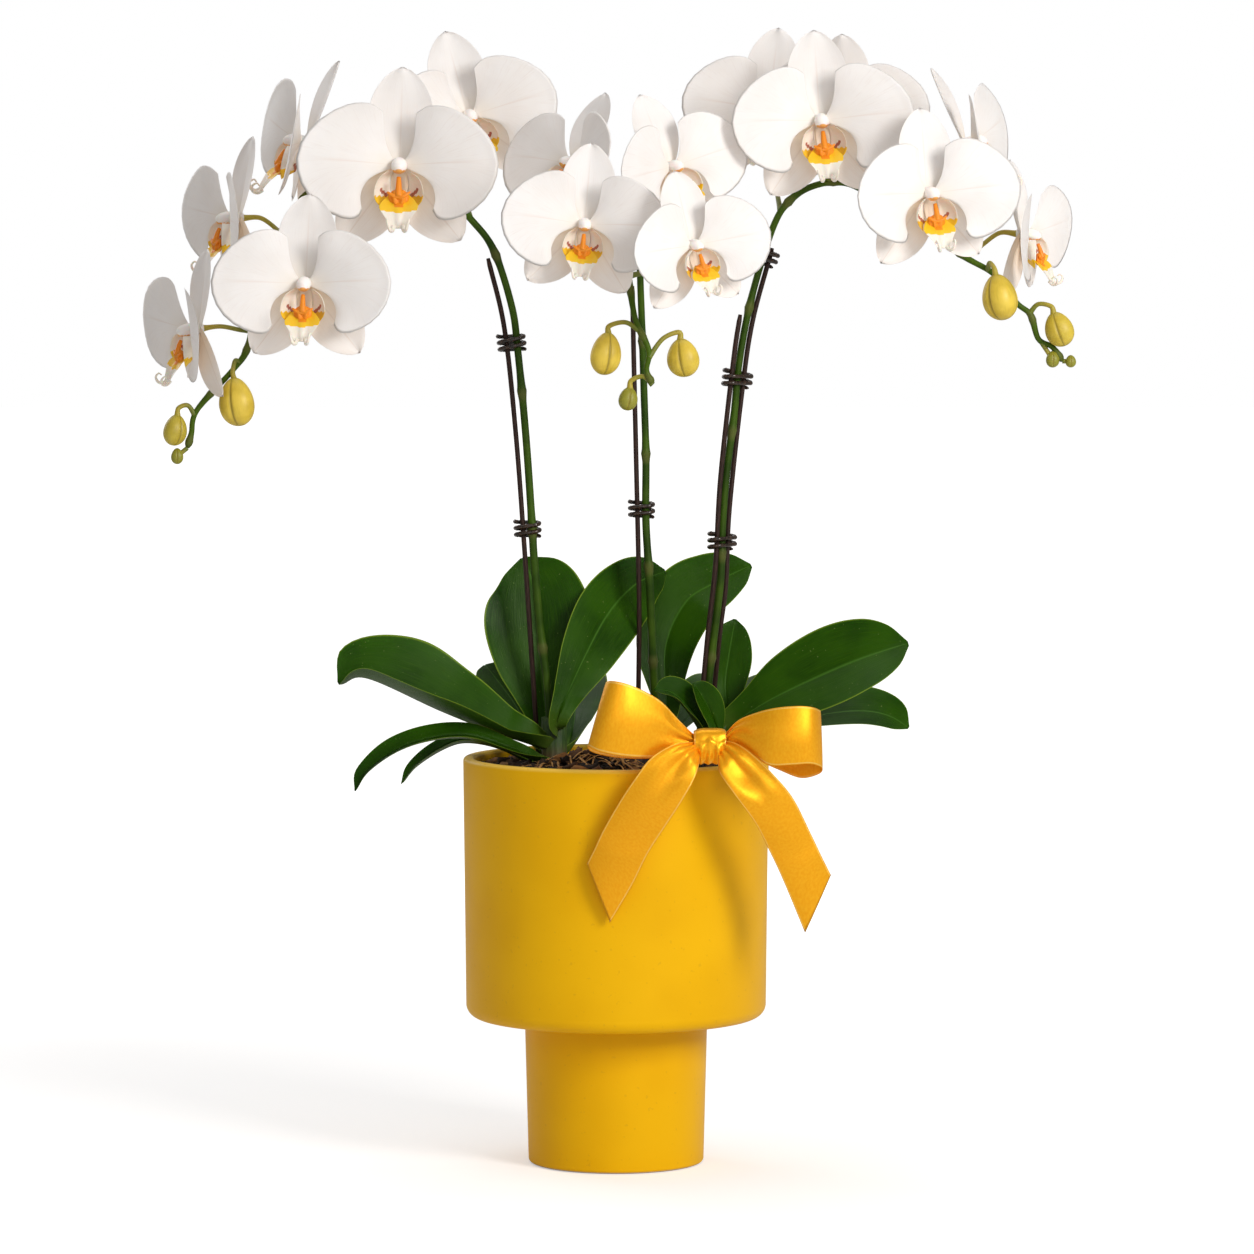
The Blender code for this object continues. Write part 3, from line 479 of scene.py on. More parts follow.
def leaf(name, root, path, half_width, fold, face, face_tip=None, shape=LEAF_SHAPE, wave=0.0, thick=1.9):
    """A leaf that grows from its root in the crown along a path, its halves folded up from the midrib."""
    line = [mm(*p) for p in [root] + path]
    points = spread(line, 65)
    steps = [(b - a).length for a, b in zip(line, line[1:])]
    clasp = steps[0] / sum(steps)
    first, last = Vector(face).normalized(), Vector(face_tip or face).normalized()
    up = math.radians(fold)
    phase = len(name) * 0.9

    def surface(s, t):
        i = min(63, int(t * 64))
        here = points[i].lerp(points[i + 1], t * 64 - i)
        on = (points[min(64, i + 3)] - points[max(0, i - 2)]).normalized()
        side = on.cross(first.lerp(last, t)).normalized()
        out = side.cross(on)
        w = half_width * MM * max(0.02, rounded(shape, max(0.0, (t - clasp) / (1 - clasp)))) * (0.62 + 0.38 * min(1.0, t / clasp))
        steep = up + 0.5 * max(0.0, 1 - t / 0.22)
        lift = (abs(s) ** 1.25) * w * math.sin(steep)
        lift += wave * MM * abs(s) ** 2 * math.sin(9 * t + phase + 1.3 * s) * math.sin(math.pi * t)
        lift -= 0.7 * MM * math.exp(-(s / 0.10) ** 2) * math.sin(math.pi * min(1, t * 1.05))
        return here + side * (s * w * math.cos(steep)) + out * lift

    def thickness(s, t):
        return thick * MM * (1.35 - 0.75 * t) * (0.55 + 0.45 * (1 - s * s)) + 0.6 * MM * math.exp(-(s / 0.14) ** 2)

    bm = fresh()
    blade(bm, surface, thickness, 56, 64)
    return finished(name + "_blade", bm, [LEAF], [name])


leaf("leaf_left_big", (-34, 3, 4), [(-43, -5, 8), (-60, -8, 14), (-87, -10, 25), (-124, -12, 41), (-138, -13, 37)],
     28, 43, (0, -0.45, 0.89), wave=1.2)
leaf("leaf_left_strap", (-34, -1, -3), [(-42, -14, 1), (-55, -17, 6), (-73, -20, 12), (-92, -22, 11), (-110, -24, 5),
                         (-125, -25, -6), (-129.5, -25, -15)],
     7.5, 30, (0, -0.5, 0.87), shape=STRAP_SHAPE, thick=1.5)
leaf("leaf_left_small", (-35, 6, -7), [(-44, 10, -3), (-60, 12, 4.5), (-76, 12, 7), (-88, 12, 3), (-101, 12, -6),
                         (-108, 12, -15)], 5.5, 30, (0, -0.4, 0.9), shape=STRAP_SHAPE, thick=1.4)
leaf("leaf_left_upright", (-33, 8, 6), [(-35, 15, 14), (-38, 24, 45), (-41, 30, 80), (-47, 32, 98)],
     28, 12, (0.05, -1, 0.15), wave=1.0)
leaf("leaf_centre_left", (-30, 2, 12), [(-29, -5, 21), (-17, 10, 47), (-4, 27, 70), (10, 40, 84), (25, 49, 90)],
     18, 14, (0.35, -0.85, 0.35), wave=0.6)
leaf("leaf_back_left", (-34, 9, 0), [(-39, 17, 4), (-52, 36, 24), (-67, 52, 42)], 16, 25, (0, -0.6, 0.8))
leaf("leaf_rear_left", (-28, 9, 0), [(-23, 17, 5), (-21, 50, 22), (-27, 85, 28), (-32, 114, 14)], 21, 25, (0, 0, 1),
     wave=1.0)
leaf("leaf_back_right", (22, 38, 10), [(26, 45, 17), (25, 52, 50), (35, 58, 73), (50, 62, 83), (69, 64, 92)],
     19, 16, (0, -0.85, 0.5), wave=0.8)
leaf("leaf_rear_right", (23, 38, -2), [(27, 46, 3), (46, 70, 22), (62, 97, 25), (70, 120, 10)], 21, 25, (0, 0, 1),
     wave=1.0)
leaf("leaf_right_small", (53, 12, 6), [(57, 22, 13), (55, 27, 33), (57, 29, 50), (60, 30, 67)], 12.5, 20, (0.1, -1, 0.1))
leaf("leaf_right_big", (53, 7, 10), [(58, 5, 15), (81, 0, 30), (117, -4, 47), (146, -6, 57)],
     25, 12, (-0.2, -0.75, 0.62), wave=0.8)
leaf("leaf_right_low", (54, 9, 1), [(60, 13, 5), (77, 14, 13), (103, 16, 19), (122, 17, 21), (136, 16, 19), (147, 14, 13)],
     18, 15, (0, -0.25, 0.97), (0, -0.6, 0.8))
leaf("leaf_front_left", (50, 4, 3), [(46, -3, 9), (37, -14, 24), (28, -20, 33), (19, -23, 35)], 11, 28, (0, -0.6, 0.8))
leaf("leaf_front_right", (51, 3, 4), [(51, -3, 10), (47, -11, 23), (41, -17, 34), (38, -19, 38)], 9, 25, (0.3, -0.8, 0.5))

# ---------------------------------------------------------------- where each flower sits
# Each bloom faces its own way on its own stalk: x, y, z, turn to the right, tilt up, lean to the
# right, size, and where its stalk leaves the spike.
FLOWERS = {
    "left": [
        ("flower_left_1", -74, 28, 320, 10, 0, -14, 0.90, (-76, 274)),
        ("flower_left_2", -107, -18, 295, 0, 0, 0, 1.0, (-104, 294)),
        ("flower_left_3", -157, 36, 307, -76, 10, 12, 0.90, (-140, 292)),
        ("flower_left_4", -191, 20, 269, -66, 0, 6, 0.84, (-168, 262)),
        ("flower_left_5", -152, -53, 237, -4, 0, 0, 0.90, (-172, 246)),
        ("flower_left_6", -209, -10, 214, -66, -5, 10, 0.81, (-181, 212))],
    "centre": [
        ("flower_centre_1", -20, -26, 295, -50, 17, 0, 0.82, (12, 262)),
        ("flower_centre_2", 27, -38, 294, 34, 6, -14, 0.78, (14, 276)),
        ("flower_centre_3", -15, -90, 266, 2, 0, 6, 0.81, (8, 255)),
        ("flower_centre_4", 37, -110, 256, 25, 0, -8, 0.74, (9, 240))],
    "right": [
        ("flower_right_1", 76, 24, 323, -10, 0, 4, 0.85, (80, 268)),
        ("flower_right_2", 116, 32, 322, 165, 0, 0, 0.80, (108, 287)),
        ("flower_right_3", 101, -20, 317, 4, 0, -4, 0.92, (100, 286)),
        ("flower_right_4", 175, -2, 306, 76, 13, -12, 0.84, (138, 275)),
        ("flower_right_5", 153, -50, 281, 18, 0, -4, 0.86, (152, 266)),
        ("flower_right_6", 204, 11, 261, 66, -2, -8, 0.76, (172, 251))]}


def facing(turn, tilt, lean):
    return (Matrix.Rotation(math.radians(turn), 4, "Z") @ Matrix.Rotation(math.radians(-tilt), 4, "X")
            @ Matrix.Rotation(math.radians(lean), 4, "Y"))


# ---------------------------------------------------------------- spikes
# Three flower spikes: dark green, with a ring and a dry scale at each node. Each flower and bud
# hangs on a paler stalk that grows out of the spike, with the smallest buds at the tips.
SPIKES = {
    "left": [(-33, 6, 18.8), (-35, 6, 40), (-38, 5, 63), (-41, 4, 99), (-42, 4, 116), (-45, 4, 160),
             (-49, 4, 203), (-52, 4, 225), (-61, 5, 253), (-72, 6, 268), (-88, 8, 284), (-108, 12, 294),
             (-138, 12, 292), (-155, 10, 280), (-168, 2, 258), (-178, -6, 230), (-183, -10, 205),
             (-190, -12, 194), (-208, -12, 174), (-211, -12, 162), (-213, -12, 155)],
    "centre": [(20, 33, 18.8), (20, 32.8, 24), (19, 27, 36), (17, 20, 84), (15, 20, 117), (15, 20, 150),
               (14, 20, 183), (13, 19, 215), (12, 15, 248), (13, 2, 274), (12, -20, 284), (8, -42, 274),
               (6, -56, 252), (9, -63, 222), (16, -66, 205), (15, -66, 195), (18, -66, 188)],
    "right": [(49, 7, 18.8), (46, 4, 33), (52, 2, 86), (53, 2, 113), (55, 2, 140), (59, 2, 172),
              (61, 2, 194), (65, 2, 218), (71, 4, 242), (79, 6, 266), (86, 7, 277), (96, 8, 284),
              (110, 8, 287), (123, 6, 283), (149, 0, 267), (173, -6, 250), (188, -8, 241),
              (199, -8, 227), (206, -8, 221), (210, -8, 209), (217, -8, 205), (222, -8, 198)]}
# x, y, z, half width, half length, lean to the right, where its stalk leaves the spike
BUDS = {
    "left": [("bud_left_1", -188, -14, 178, 8.7, 11.8, -8, (-188, 197)),
             ("bud_left_2", -219, -14, 164, 5.8, 7.6, 10, (-208, 174))],
    "centre": [("bud_centre_1", -5, -62, 203, 7.4, 10.2, 8, (10, 219)),
               ("bud_centre_2", 33, -62, 201, 7.8, 9.2, -10, (16, 206)),
               ("bud_centre_3", 6, -64, 181, 4.6, 5.6, 10, (17, 190))],
    "right": [("bud_right_1", 190, -22, 230, 8.6, 11.2, -12, (187, 242)),
              ("bud_right_2", 220, -12, 214, 7.0, 8.6, -20, (206, 220))]}
NUBS = {"left": [(-218, -13, 151, 3.0, 3.9, (-213, 156))], "centre": [],
        "right": [(217, -9, 199, 3.3, 4.0, (214, 207)), (226, -9, 198, 2.6, 3.0, (219, 202))]}
STEM_R, STEM_TIP_R, STALK_R = 2.1, 1.35, 1.15


def rod(bm, points, radius, sides=16, slot=0, paint=None):
    """A round rod along points; radius(t) is in millimetres, from its start to its end."""
    steps = len(points) - 1
    up, frames = Vector((0.05, 1, 0.02)), []
    for i, p in enumerate(points):
        on = (points[min(i + 1, steps)] - points[max(i - 1, 0)]).normalized()
        side = on.cross(up).normalized()
        up = side.cross(on)
        frames.append((p, side, up))

    def place(a, t):
        p, side, over = frames[round(t * steps)]
        r = radius(t) * MM
        return p + side * (r * math.cos(a)) + over * (r * math.sin(a))

    wrap(bm, sides, steps, place, slot, paint)


def nearest(points, x, z):
    return min(range(len(points)),
               key=lambda i: (points[i].x - x * MM) ** 2 + (points[i].z - RIM - z * MM) ** 2)


def spike_paint(spot, along):
    u, v, _ = parted(along)
    streak = speckle(joined(along, u * 9.0, v * 5.0), 6.0, 3.0)
    cloud = speckle(spot, 60.0, 2.0)
    ring = parted(spot.node("ShaderNodeAttribute", {"attribute_name": "paint"}))[0]
    body = tinted(eased(cloud, 0.3, 0.7), rgb(0.012, 0.038, 0.0015), rgb(0.040, 0.088, 0.004))
    body = tinted(eased(v, 0.45, 0.8) * 0.5, body, rgb(0.075, 0.135, 0.006))
    body = tinted(eased(streak, 0.55, 0.75) * 0.35, body, rgb(0.045, 0.028, 0.015))
    return {"Base Color": tinted(ring * 0.65, body, rgb(0.15, 0.125, 0.045)),
            "Roughness": 0.36 + streak * 0.2, "Normal": raised(streak, 0.25, 0.25)}


def stalk_paint(spot, along):
    u, v, _ = parted(along)
    streak = speckle(joined(along, u * 7.0, v * 3.0), 5.0, 3.0)
    body = tinted(eased(v, 0.0, 0.9), rgb(0.12, 0.16, 0.008), rgb(0.42, 0.33, 0.03))
    return {"Base Color": tinted(eased(streak, 0.5, 0.8) * 0.4, body, rgb(0.22, 0.13, 0.03)),
            "Roughness": 0.42 + streak * 0.15, "Normal": raised(streak, 0.2, 0.2)}


def bud_paint(spot, along):
    crease_shade, young, _ = parted(spot.node("ShaderNodeAttribute", {"attribute_name": "paint"}))
    v = parted(along)[1]
    veins = speckle(joined(along, parted(along)[0] * 26.0, v * 1.5), 3.0, 3.0)
    body = tinted(eased(speckle(spot, 110.0, 3.0), 0.3, 0.7), rgb(0.60, 0.42, 0.030), rgb(0.78, 0.57, 0.065))
    body = tinted(eased(veins, 0.5, 0.75) * 0.35, body, rgb(0.50, 0.36, 0.02))
    body = tinted(eased(v, 0.72, 1.0) * 0.6, body, rgb(0.36, 0.32, 0.02))
    # Darker olive at the bud's lower point: partly its greener point, partly painted shade on its underside.
    body = tinted((1.0 - eased(v, 0.0, 0.16)) * 0.6, body, rgb(0.30, 0.26, 0.015))
    body = tinted(young, body, rgb(0.26, 0.25, 0.018))
    # Painted shade: dark in the creases where the sepals meet.
    return {"Base Color": tinted(crease_shade * 0.8, body, rgb(0.24, 0.17, 0.010)),
            "Roughness": 0.38 + veins * 0.15, "Normal": raised(veins, 0.25, 0.25)}


STEM = mixed("spike_green", spike_paint, Specular_IOR_Level=0.25, Specular_Tint=rgb(0.8, 1.0, 0.5))
STALK = mixed("stalk_olive", stalk_paint, Subsurface_Weight=0.1, Subsurface_Scale=0.002)
BUD = mixed("bud_olive", bud_paint, Subsurface_Weight=0.15, Subsurface_Scale=0.003,
            Subsurface_Radius=(1.0, 0.8, 0.3))


def bud_shape(bm, half, length, pose, slot):
    """A closed bud: three sepals that meet along creases, drawn in to a blunt point."""

    def fold(a):
        gap = min(abs(((a - 0.6 - k * 2.094) + math.pi) % (2 * math.pi) - math.pi) for k in range(3))
        return math.exp(-(gap / 0.085) ** 2)

    def place(a, t):
        polar = math.pi * (1 - t)
        r = math.sin(polar) ** 0.92 * (1 - 0.13 * math.cos(polar))
        r *= (1 - 0.12 * fold(a) * math.sin(polar) ** 0.7) * (1 + 0.05 * math.cos(3 * (a - 0.6 - 1.047)))
        z = math.cos(polar) + 0.05 * math.cos(polar) ** 7
        return pose @ Vector((r * half * math.cos(a), r * half * math.sin(a), z * length * 0.98))

    back = pose.inverted()
    young = min(1.0, max(0.0, (9.5 - length) / 4))
    # The first paint mark is where the creases lie; the bud finish paints shade there.
    wrap(bm, 72, 28, place, slot, lambda p: (fold(math.atan2((back @ p).y, (back @ p).x)), young, 0.0))


spike_lines = {}
for side, path in SPIKES.items():
    bm = fresh()
    fine = spread([mm(*p) for p in path], 281)
    line = spread([mm(*p) for p in path], 30)
    spike_lines[side] = line
    node_at = [0.07, 0.19, 0.33, 0.47] + [0.60 + 0.056 * k for k in range(8)]

    def stem_radius(t):
        r = STEM_R + (STEM_TIP_R - STEM_R) * t
        for n in node_at:
            gap = (t - n) * 400
            r += 0.42 * math.exp(-(gap / 2.2) ** 2) + (0.30 * (1 - gap / 9) if 0 < gap < 9 else 0)
        return r * (0.55 if t > 0.997 else 1)

    nodes = [fine[round(n * (len(fine) - 1))] for n in node_at]
    rod(bm, fine, stem_radius, 20, 0, lambda p: (
        max(0.0, 1 - min((p - n).length for n in nodes) / (4.2 * MM)) ** 0.6, 0.0, 0.0))
    for name, x, y, z, turn, tilt, lean, size, where in FLOWERS[side]:
        back = facing(turn, tilt, lean).to_3x3() @ Vector((0, 1, 0))
        end = mm(x, y, z) + back * (4.6 * size * MM)
        start = line[nearest(line, *where)]
        behind = start.lerp(end + back * 18 * MM, 0.72)
        behind.z = start.z + 0.3 * (end.z - start.z)
        route = spread([start, behind, end + back * 10 * MM, end], 41)
        rod(bm, route, lambda t: STALK_R + 0.55 * (1 - t) ** 8 + 0.75 * t ** 10, 14, 1)
    for name, x, y, z, half, length, lean, where in BUDS[side]:
        start = line[nearest(line, *where)]
        up = Vector((math.sin(math.radians(lean)), 0, math.cos(math.radians(lean))))
        end = mm(x, y, z) + up * ((length - 0.6) * MM)
        route = spread([start, (start + end) / 2 + up * 5 * MM, end + up * 4 * MM, end], 33)
        rod(bm, route, lambda t: STALK_R + 0.4 * (1 - t) ** 8 + 0.6 * t ** 8, 14, 1)
    for x, y, z, half, length, where in NUBS[side]:
        start, end = line[nearest(line, *where)], mm(x, y, z)
        rod(bm, spread([start, (start + end) / 2, end], 9), lambda t: STALK_R, 12, 1)
        bud_shape(bm, half, length, Matrix.Translation(end) @ Matrix.Scale(MM, 4), 2)
    finished("flower_spike_" + side, bm, [STEM, STALK, BUD], ["spike_" + side])

# ---------------------------------------------------------------- buds
# Unopened flowers, each a closed olive-yellow bud with its sepals' edges meeting in creases.
for side, rows in BUDS.items():
    for name, x, y, z, half, length, lean, where in rows:
        bm = fresh()
        pose = (Matrix.Translation(mm(x, y, z)) @ Matrix.Rotation(math.radians(lean), 4, "Y")
                @ Matrix.Rotation(x * 0.37, 4, "Z") @ Matrix.Scale(MM, 4))
        bud_shape(bm, half, length, pose, 0)
        finished("closed_" + name, bm, [BUD], [name])


# ---------------------------------------------------------------- flowers
# Sixteen moth orchid blooms. Three sepals stand behind two broad petals, and the small lip in front
# has cupped side lobes, a yellow throat, an orange callus and two curling tips under a white column.
# How far each petal reaches, by s across it: angle above the horizontal, and reach.
PETAL_EDGE = [(-1, -52, 28.2), (-0.86, -52.5, 32.6), (-0.72, -47.6, 36.4), (-0.57, -37, 40.7),
              (-0.43, -26.4, 44.6), (-0.29, -15.9, 47.6), (-0.14, -5.8, 49.4), (0, 2.7, 50),
              (0.14, 13.2, 48.7), (0.29, 23.7, 46.0), (0.43, 36.6, 42.2), (0.57, 48.5, 38.8),
              (0.72, 57, 36.0), (0.86, 65.3, 32.6), (1, 72.4, 27.6)]
ANGLES = [(s, a) for s, a, r in PETAL_EDGE]
REACHES = [(s, r) for s, a, r in PETAL_EDGE]


def petal_paint(spot, along):
    u, v, _ = parted(along)
    s = along.maths("COSINE", u * (2 * math.pi))
    side = abs(s)
    veins = speckle(joined(along, s * 15.0, v * 0.9), 3.2, 4.0, 0.65)
    cloud = speckle(spot, 45.0, 3.0)
    fine = speckle(spot, 1400.0, 2.0)
    body = tinted(eased(cloud, 0.3, 0.7), rgb(0.87, 0.82, 0.79), rgb(0.91, 0.87, 0.85))
    body = tinted(eased(veins, 0.50, 0.72) * 0.40, body, rgb(0.80, 0.715, 0.68))
    # Painted shade: darker and warmer along the midrib, where the petal dips, fading out towards the tip.
    body = tinted((1.0 - eased(side, 0.0, 0.05)) * (1.0 - eased(v, 0.5, 0.95)) * 0.45, body, rgb(0.78, 0.66, 0.60))
    # Painted warm shade towards the base, at the flower's centre.
    body = tinted((1.0 - eased(v, 0.02, 0.42)) * 0.45, body, rgb(0.90, 0.80, 0.66))
    # Painted highlight: a paler line along the very rim.
    body = tinted(eased(side, 0.97, 1.0) * 0.5, body, rgb(0.95, 0.93, 0.92))
    return {"Base Color": body, "Roughness": 0.46 + fine * 0.2,
            "Normal": raised(veins * 0.8 + fine * 0.15, 0.22, 0.35)}


def sepal_paint(spot, along):
    u, v, _ = parted(along)
    s = along.maths("COSINE", u * (2 * math.pi))
    side = abs(s)
    veins = speckle(joined(along, s * 12.0, v * 0.8, 5.0), 3.0, 4.0, 0.65)
    fine = speckle(spot, 1400.0, 2.0)
    body = tinted(eased(veins, 0.42, 0.70) * 0.5, rgb(0.94, 0.87, 0.82), rgb(0.87, 0.75, 0.68))
    # Painted warm shade: peach towards the sepal's base, by the lip.
    body = tinted((1.0 - eased(v, 0.12, 0.75)) * 0.75, body, rgb(0.92, 0.70, 0.48))
    # Painted shade: darker along the sepal's midline.
    body = tinted((1.0 - eased(side, 0.0, 0.06)) * 0.4, body, rgb(0.74, 0.58, 0.48))
    return {"Base Color": body, "Roughness": 0.46 + fine * 0.2,
            "Normal": raised(veins * 0.8 + fine * 0.15, 0.25, 0.35)}


def lip_paint(spot, along):
    red, green, blue = parted(spot.node("ShaderNodeAttribute", {"attribute_name": "paint"}))
    u, v, _ = parted(along)
    s = along.maths("COSINE", u * (2 * math.pi))
    ragged = speckle(joined(along, s * 4.0, v * 4.0), 4.0, 3.0)
    lines = speckle(joined(along, s * 7.0, v * 1.6, 2.0), 3.0, 2.0)
    fine = speckle(spot, 1500.0, 2.0)
    body = tinted(eased(lines, 0.45, 0.75) * 0.3, rgb(0.90, 0.83, 0.74), rgb(0.86, 0.66, 0.46))
    body = tinted(eased(red + ragged * 0.5 - 0.25, 0.40, 0.58), body, rgb(0.93, 0.55, 0.012))
    body = tinted(eased(green + ragged * 0.3 - 0.15, 0.35, 0.65), body, rgb(0.90, 0.27, 0.006))
    body = tinted(eased(blue, 0.25, 0.6) * (0.65 + ragged * 0.5), body, rgb(0.36, 0.055, 0.012))
    return {"Base Color": body, "Roughness": 0.36 + fine * 0.2,
            "Normal": raised(ragged * 0.6 + fine * 0.2, 0.25, 0.3)}


def column_paint(spot, along):
    green = parted(spot.node("ShaderNodeAttribute", {"attribute_name": "paint"}))[1]
    fine = speckle(spot, 900.0, 2.0)
    body = tinted(eased(green, 0.3, 0.8), rgb(0.91, 0.87, 0.84), rgb(0.85, 0.42, 0.10))
    return {"Base Color": body, "Roughness": 0.34 + fine * 0.2, "Normal": raised(fine, 0.15, 0.2)}


soft = {"Subsurface_Weight": 0.22, "Subsurface_Scale": 0.004, "Subsurface_Radius": (1.0, 0.75, 0.6)}
FLOWER = [mixed("white_petal", petal_paint, **soft), mixed("sepal_cream", sepal_paint, **soft),
          mixed("lip_gold", lip_paint, Subsurface_Weight=0.15, Subsurface_Scale=0.003),
          mixed("column_white", column_paint, Subsurface_Weight=0.2, Subsurface_Scale=0.003)]


def fan_petal(bm, hand, ruffle, dice):
    """A broad petal on one side: narrow at its claw, then fanning above and below."""
    phase, lift, size = dice.uniform(0, 6.28), dice.uniform(-2.5, 2.5), dice.uniform(0.975, 1.01)

    def surface(s, t):
        q = -s * hand
        end, reach = rounded(ANGLES, q), rounded(REACHES, q) * size
        opened = 1 - 0.5 * (1 - t) ** 1.5 if q > 0 else 0.46 + 0.54 * t ** 3
        opened = opened if abs(q) > 0.25 else 0.46 + 0.54 * t ** 3 + (opened - 0.46 - 0.54 * t ** 3) * (q + 0.25) / 0.5
        angle = math.radians(6 + lift + (end - 6) * opened)
        r = reach * (0.03 + 0.97 * t)
        x, z = hand * r * math.cos(angle), r * math.sin(angle)
        y = -1.4 - 0.40 * r + 0.0022 * r * r
        y += 1.6 * (q * q) * t - 2.6 * math.sin(math.pi * min(1, t * 1.1)) * (1 - q * q) * 0.6
        y += ruffle * t ** 3 * math.sin(7.5 * q + phase) * (0.5 + abs(q))
        return Vector((x, y, z))

    blade(bm, surface, lambda s, t: 0.30 + 0.75 * (1 - t) * (1 - 0.5 * s * s), 52, 30, 0)


def sepal(bm, length, half, angle, lean, cup, depth, slot, ruffle, dice):
    """A sepal standing out from the centre; the angle is from straight up, to the right."""
    a = math.radians(angle + dice.uniform(-2.5, 2.5))
    out, across = Vector((math.sin(a), 0, math.cos(a))), Vector((math.cos(a), 0, -math.sin(a)))
    phase = dice.uniform(0, 6.28)

    def surface(s, t):
        wide = half * max(0.16 * (1 - t), math.sin(math.pi * (0.04 + 0.96 * t) ** 1.12) ** 0.62 if t < 0.999 else 0)
        reach = length * t * math.cos(math.radians(lean))
        y = depth + length * t * math.tan(math.radians(lean)) - cup * s * s * math.sin(math.pi * t) ** 0.8
        y += 0.9 * math.exp(-(s / 0.16) ** 2) * (1 - t) + ruffle * t * t * math.sin(4 * s + phase)
        p = out * (reach + 0.0) + across * (s * wide)
        return Vector((p.x, y, p.z))

    blade(bm, surface, lambda s, t: 0.35 + 0.65 * (1 - t) * (1 - 0.5 * s * s), 40, 26, slot)


def lip_parts(bm, dice):
    """The lip's side lobes, middle lobe, callus and curling tips, and the column over them."""
    rim = [(-1, 8.2, -21.5), (-0.5, 12.2, -17.4), (0, 12.9, -12.4), (0.5, 10.6, -6.6), (1, 5.2, -2.6)]
    root = [(-1, 3.0, -16.5), (-0.5, 3.8, -13.5), (0, 4.2, -10), (0.5, 4.0, -6), (1, 3.4, -3)]
    xs, zs = [(s, x) for s, x, z in rim], [(s, z) for s, x, z in rim]
    rx, rz = [(s, x) for s, x, z in root], [(s, z) for s, x, z in root]
    for hand in (-1, 1):

        def lobe(s, t):
            q = s * hand
            k = t ** 0.62
            x = rounded(rx, q) + (rounded(xs, q) - rounded(rx, q)) * k - 0.9 * max(0.0, t - 0.75) * 4 * (1 - q * q)
            z = rounded(rz, q) + (rounded(zs, q) - rounded(rz, q)) * (0.25 * t + 0.75 * t * t)
            return Vector((hand * x, -2.0 - 10.5 * t ** 1.35 * (1 - 0.25 * q * q), z))

        blade(bm, lobe, lambda s, t: 0.7 - 0.35 * t, 32, 20, 2, lambda p: (
            1.0 if p.z < -15.2 else 0.0, 0.0,
            1.0 if abs(p.z + 17.4 - 0.95 * (abs(p.x) - 3.6)) < 1.1 and 4.4 < abs(p.x) < 9.4 else 0.0))

    def tongue(s, t):
        wide = rounded([(0, 3.4), (0.22, 8.2), (0.36, 9.6), (0.62, 6.6), (0.86, 4.6), (1, 3.2)], t)
        z = rounded([(0, -13), (0.35, -20.5), (0.7, -27), (1, -31.2)], t)
        y = rounded([(0, -4), (0.35, -12.5), (0.7, -16.5), (1, -18.2)], t)
        return Vector((s * wide, y - 2.2 * s * s * (1 - 0.4 * t) + 1.1 * math.exp(-(s / 0.2) ** 2) * -1, z))

    blade(bm, tongue, lambda s, t: 0.9 - 0.3 * t, 40, 28, 2, lambda p: (
        1.0 if p.z > -23.6 + 0.16 * abs(p.x) else 0.0,
        1.0 if abs(p.x) < 2.6 and p.z > -20.5 else 0.0, 0.0))

    def callus(a, t):
        polar = math.pi * t
        r = math.sin(polar) ** 0.8
        ridge = 1 + 0.16 * math.cos(6 * a) * r
        cleft = 1 - 0.35 * math.exp(-(math.cos(a) / 0.22) ** 2) * (math.sin(a) < 0)
        return Vector((4.3 * r * ridge * math.cos(a), -10.6 + 2.6 * r * ridge * cleft * math.sin(a),
                       -16.2 + 4.4 * math.cos(polar)))

    wrap(bm, 36, 18, callus, 2, lambda p: (1.0, 1.0, 0.0))
    bridge = [Vector(p) for p in [(0, -9.4, -6.0), (0, -10.6, -9.0), (0, -11.6, -12.6), (0, -12.4, -15.5)]]
    rod(bm, spread(bridge, 13), lambda t: (1.1 + 0.9 * t) / MM, 14, 2, lambda p: (1.0, 1.0, 0.0))
    for hand in (-1, 1):
        arm = [Vector(p) for p in [(0, -11.6, -15.6), (hand * 3.0, -12.4, -15.0), (hand * 5.6, -12.0, -13.2)]]
        rod(bm, spread(arm, 11), lambda t: (1.7 - 1.2 * t) / MM, 12, 2, lambda p: (1.0, 1.0, 0.0))

    for hand in (-1, 1):
        loop = [Vector(p) for p in [(hand * 2.4, -18.0, -30.2), (hand * 3.0, -20.6, -32.2),
                                    (hand * 4.0, -23.6, -31.6), (hand * 5.0, -24.6, -28.6),
                                    (hand * 5.4, -22.6, -26.6), (hand * 5.2, -20.8, -27.8)]]
        rod(bm, spread(loop, 29), lambda t: (1.25 - 0.85 * t) / MM, 12, 2)
    path = spread([Vector(p) for p in [(0, 4.8, 0.4), (0, 0, 0.3), (0, -4.6, 0.1), (0, -8.0, -0.9),
                                       (0, -9.9, -2.3), (0, -10.6, -3.6)]], 31)
    rod(bm, path, lambda t: rounded([(0, 3.0), (0.3, 3.5), (0.62, 3.9), (0.8, 3.7), (0.92, 2.7), (1, 0.2)], t) / MM,
        28, 3, lambda p: (0.0, 1.0 if p.z < -2.4 and p.y < -3.2 else 0.0, 0.0))


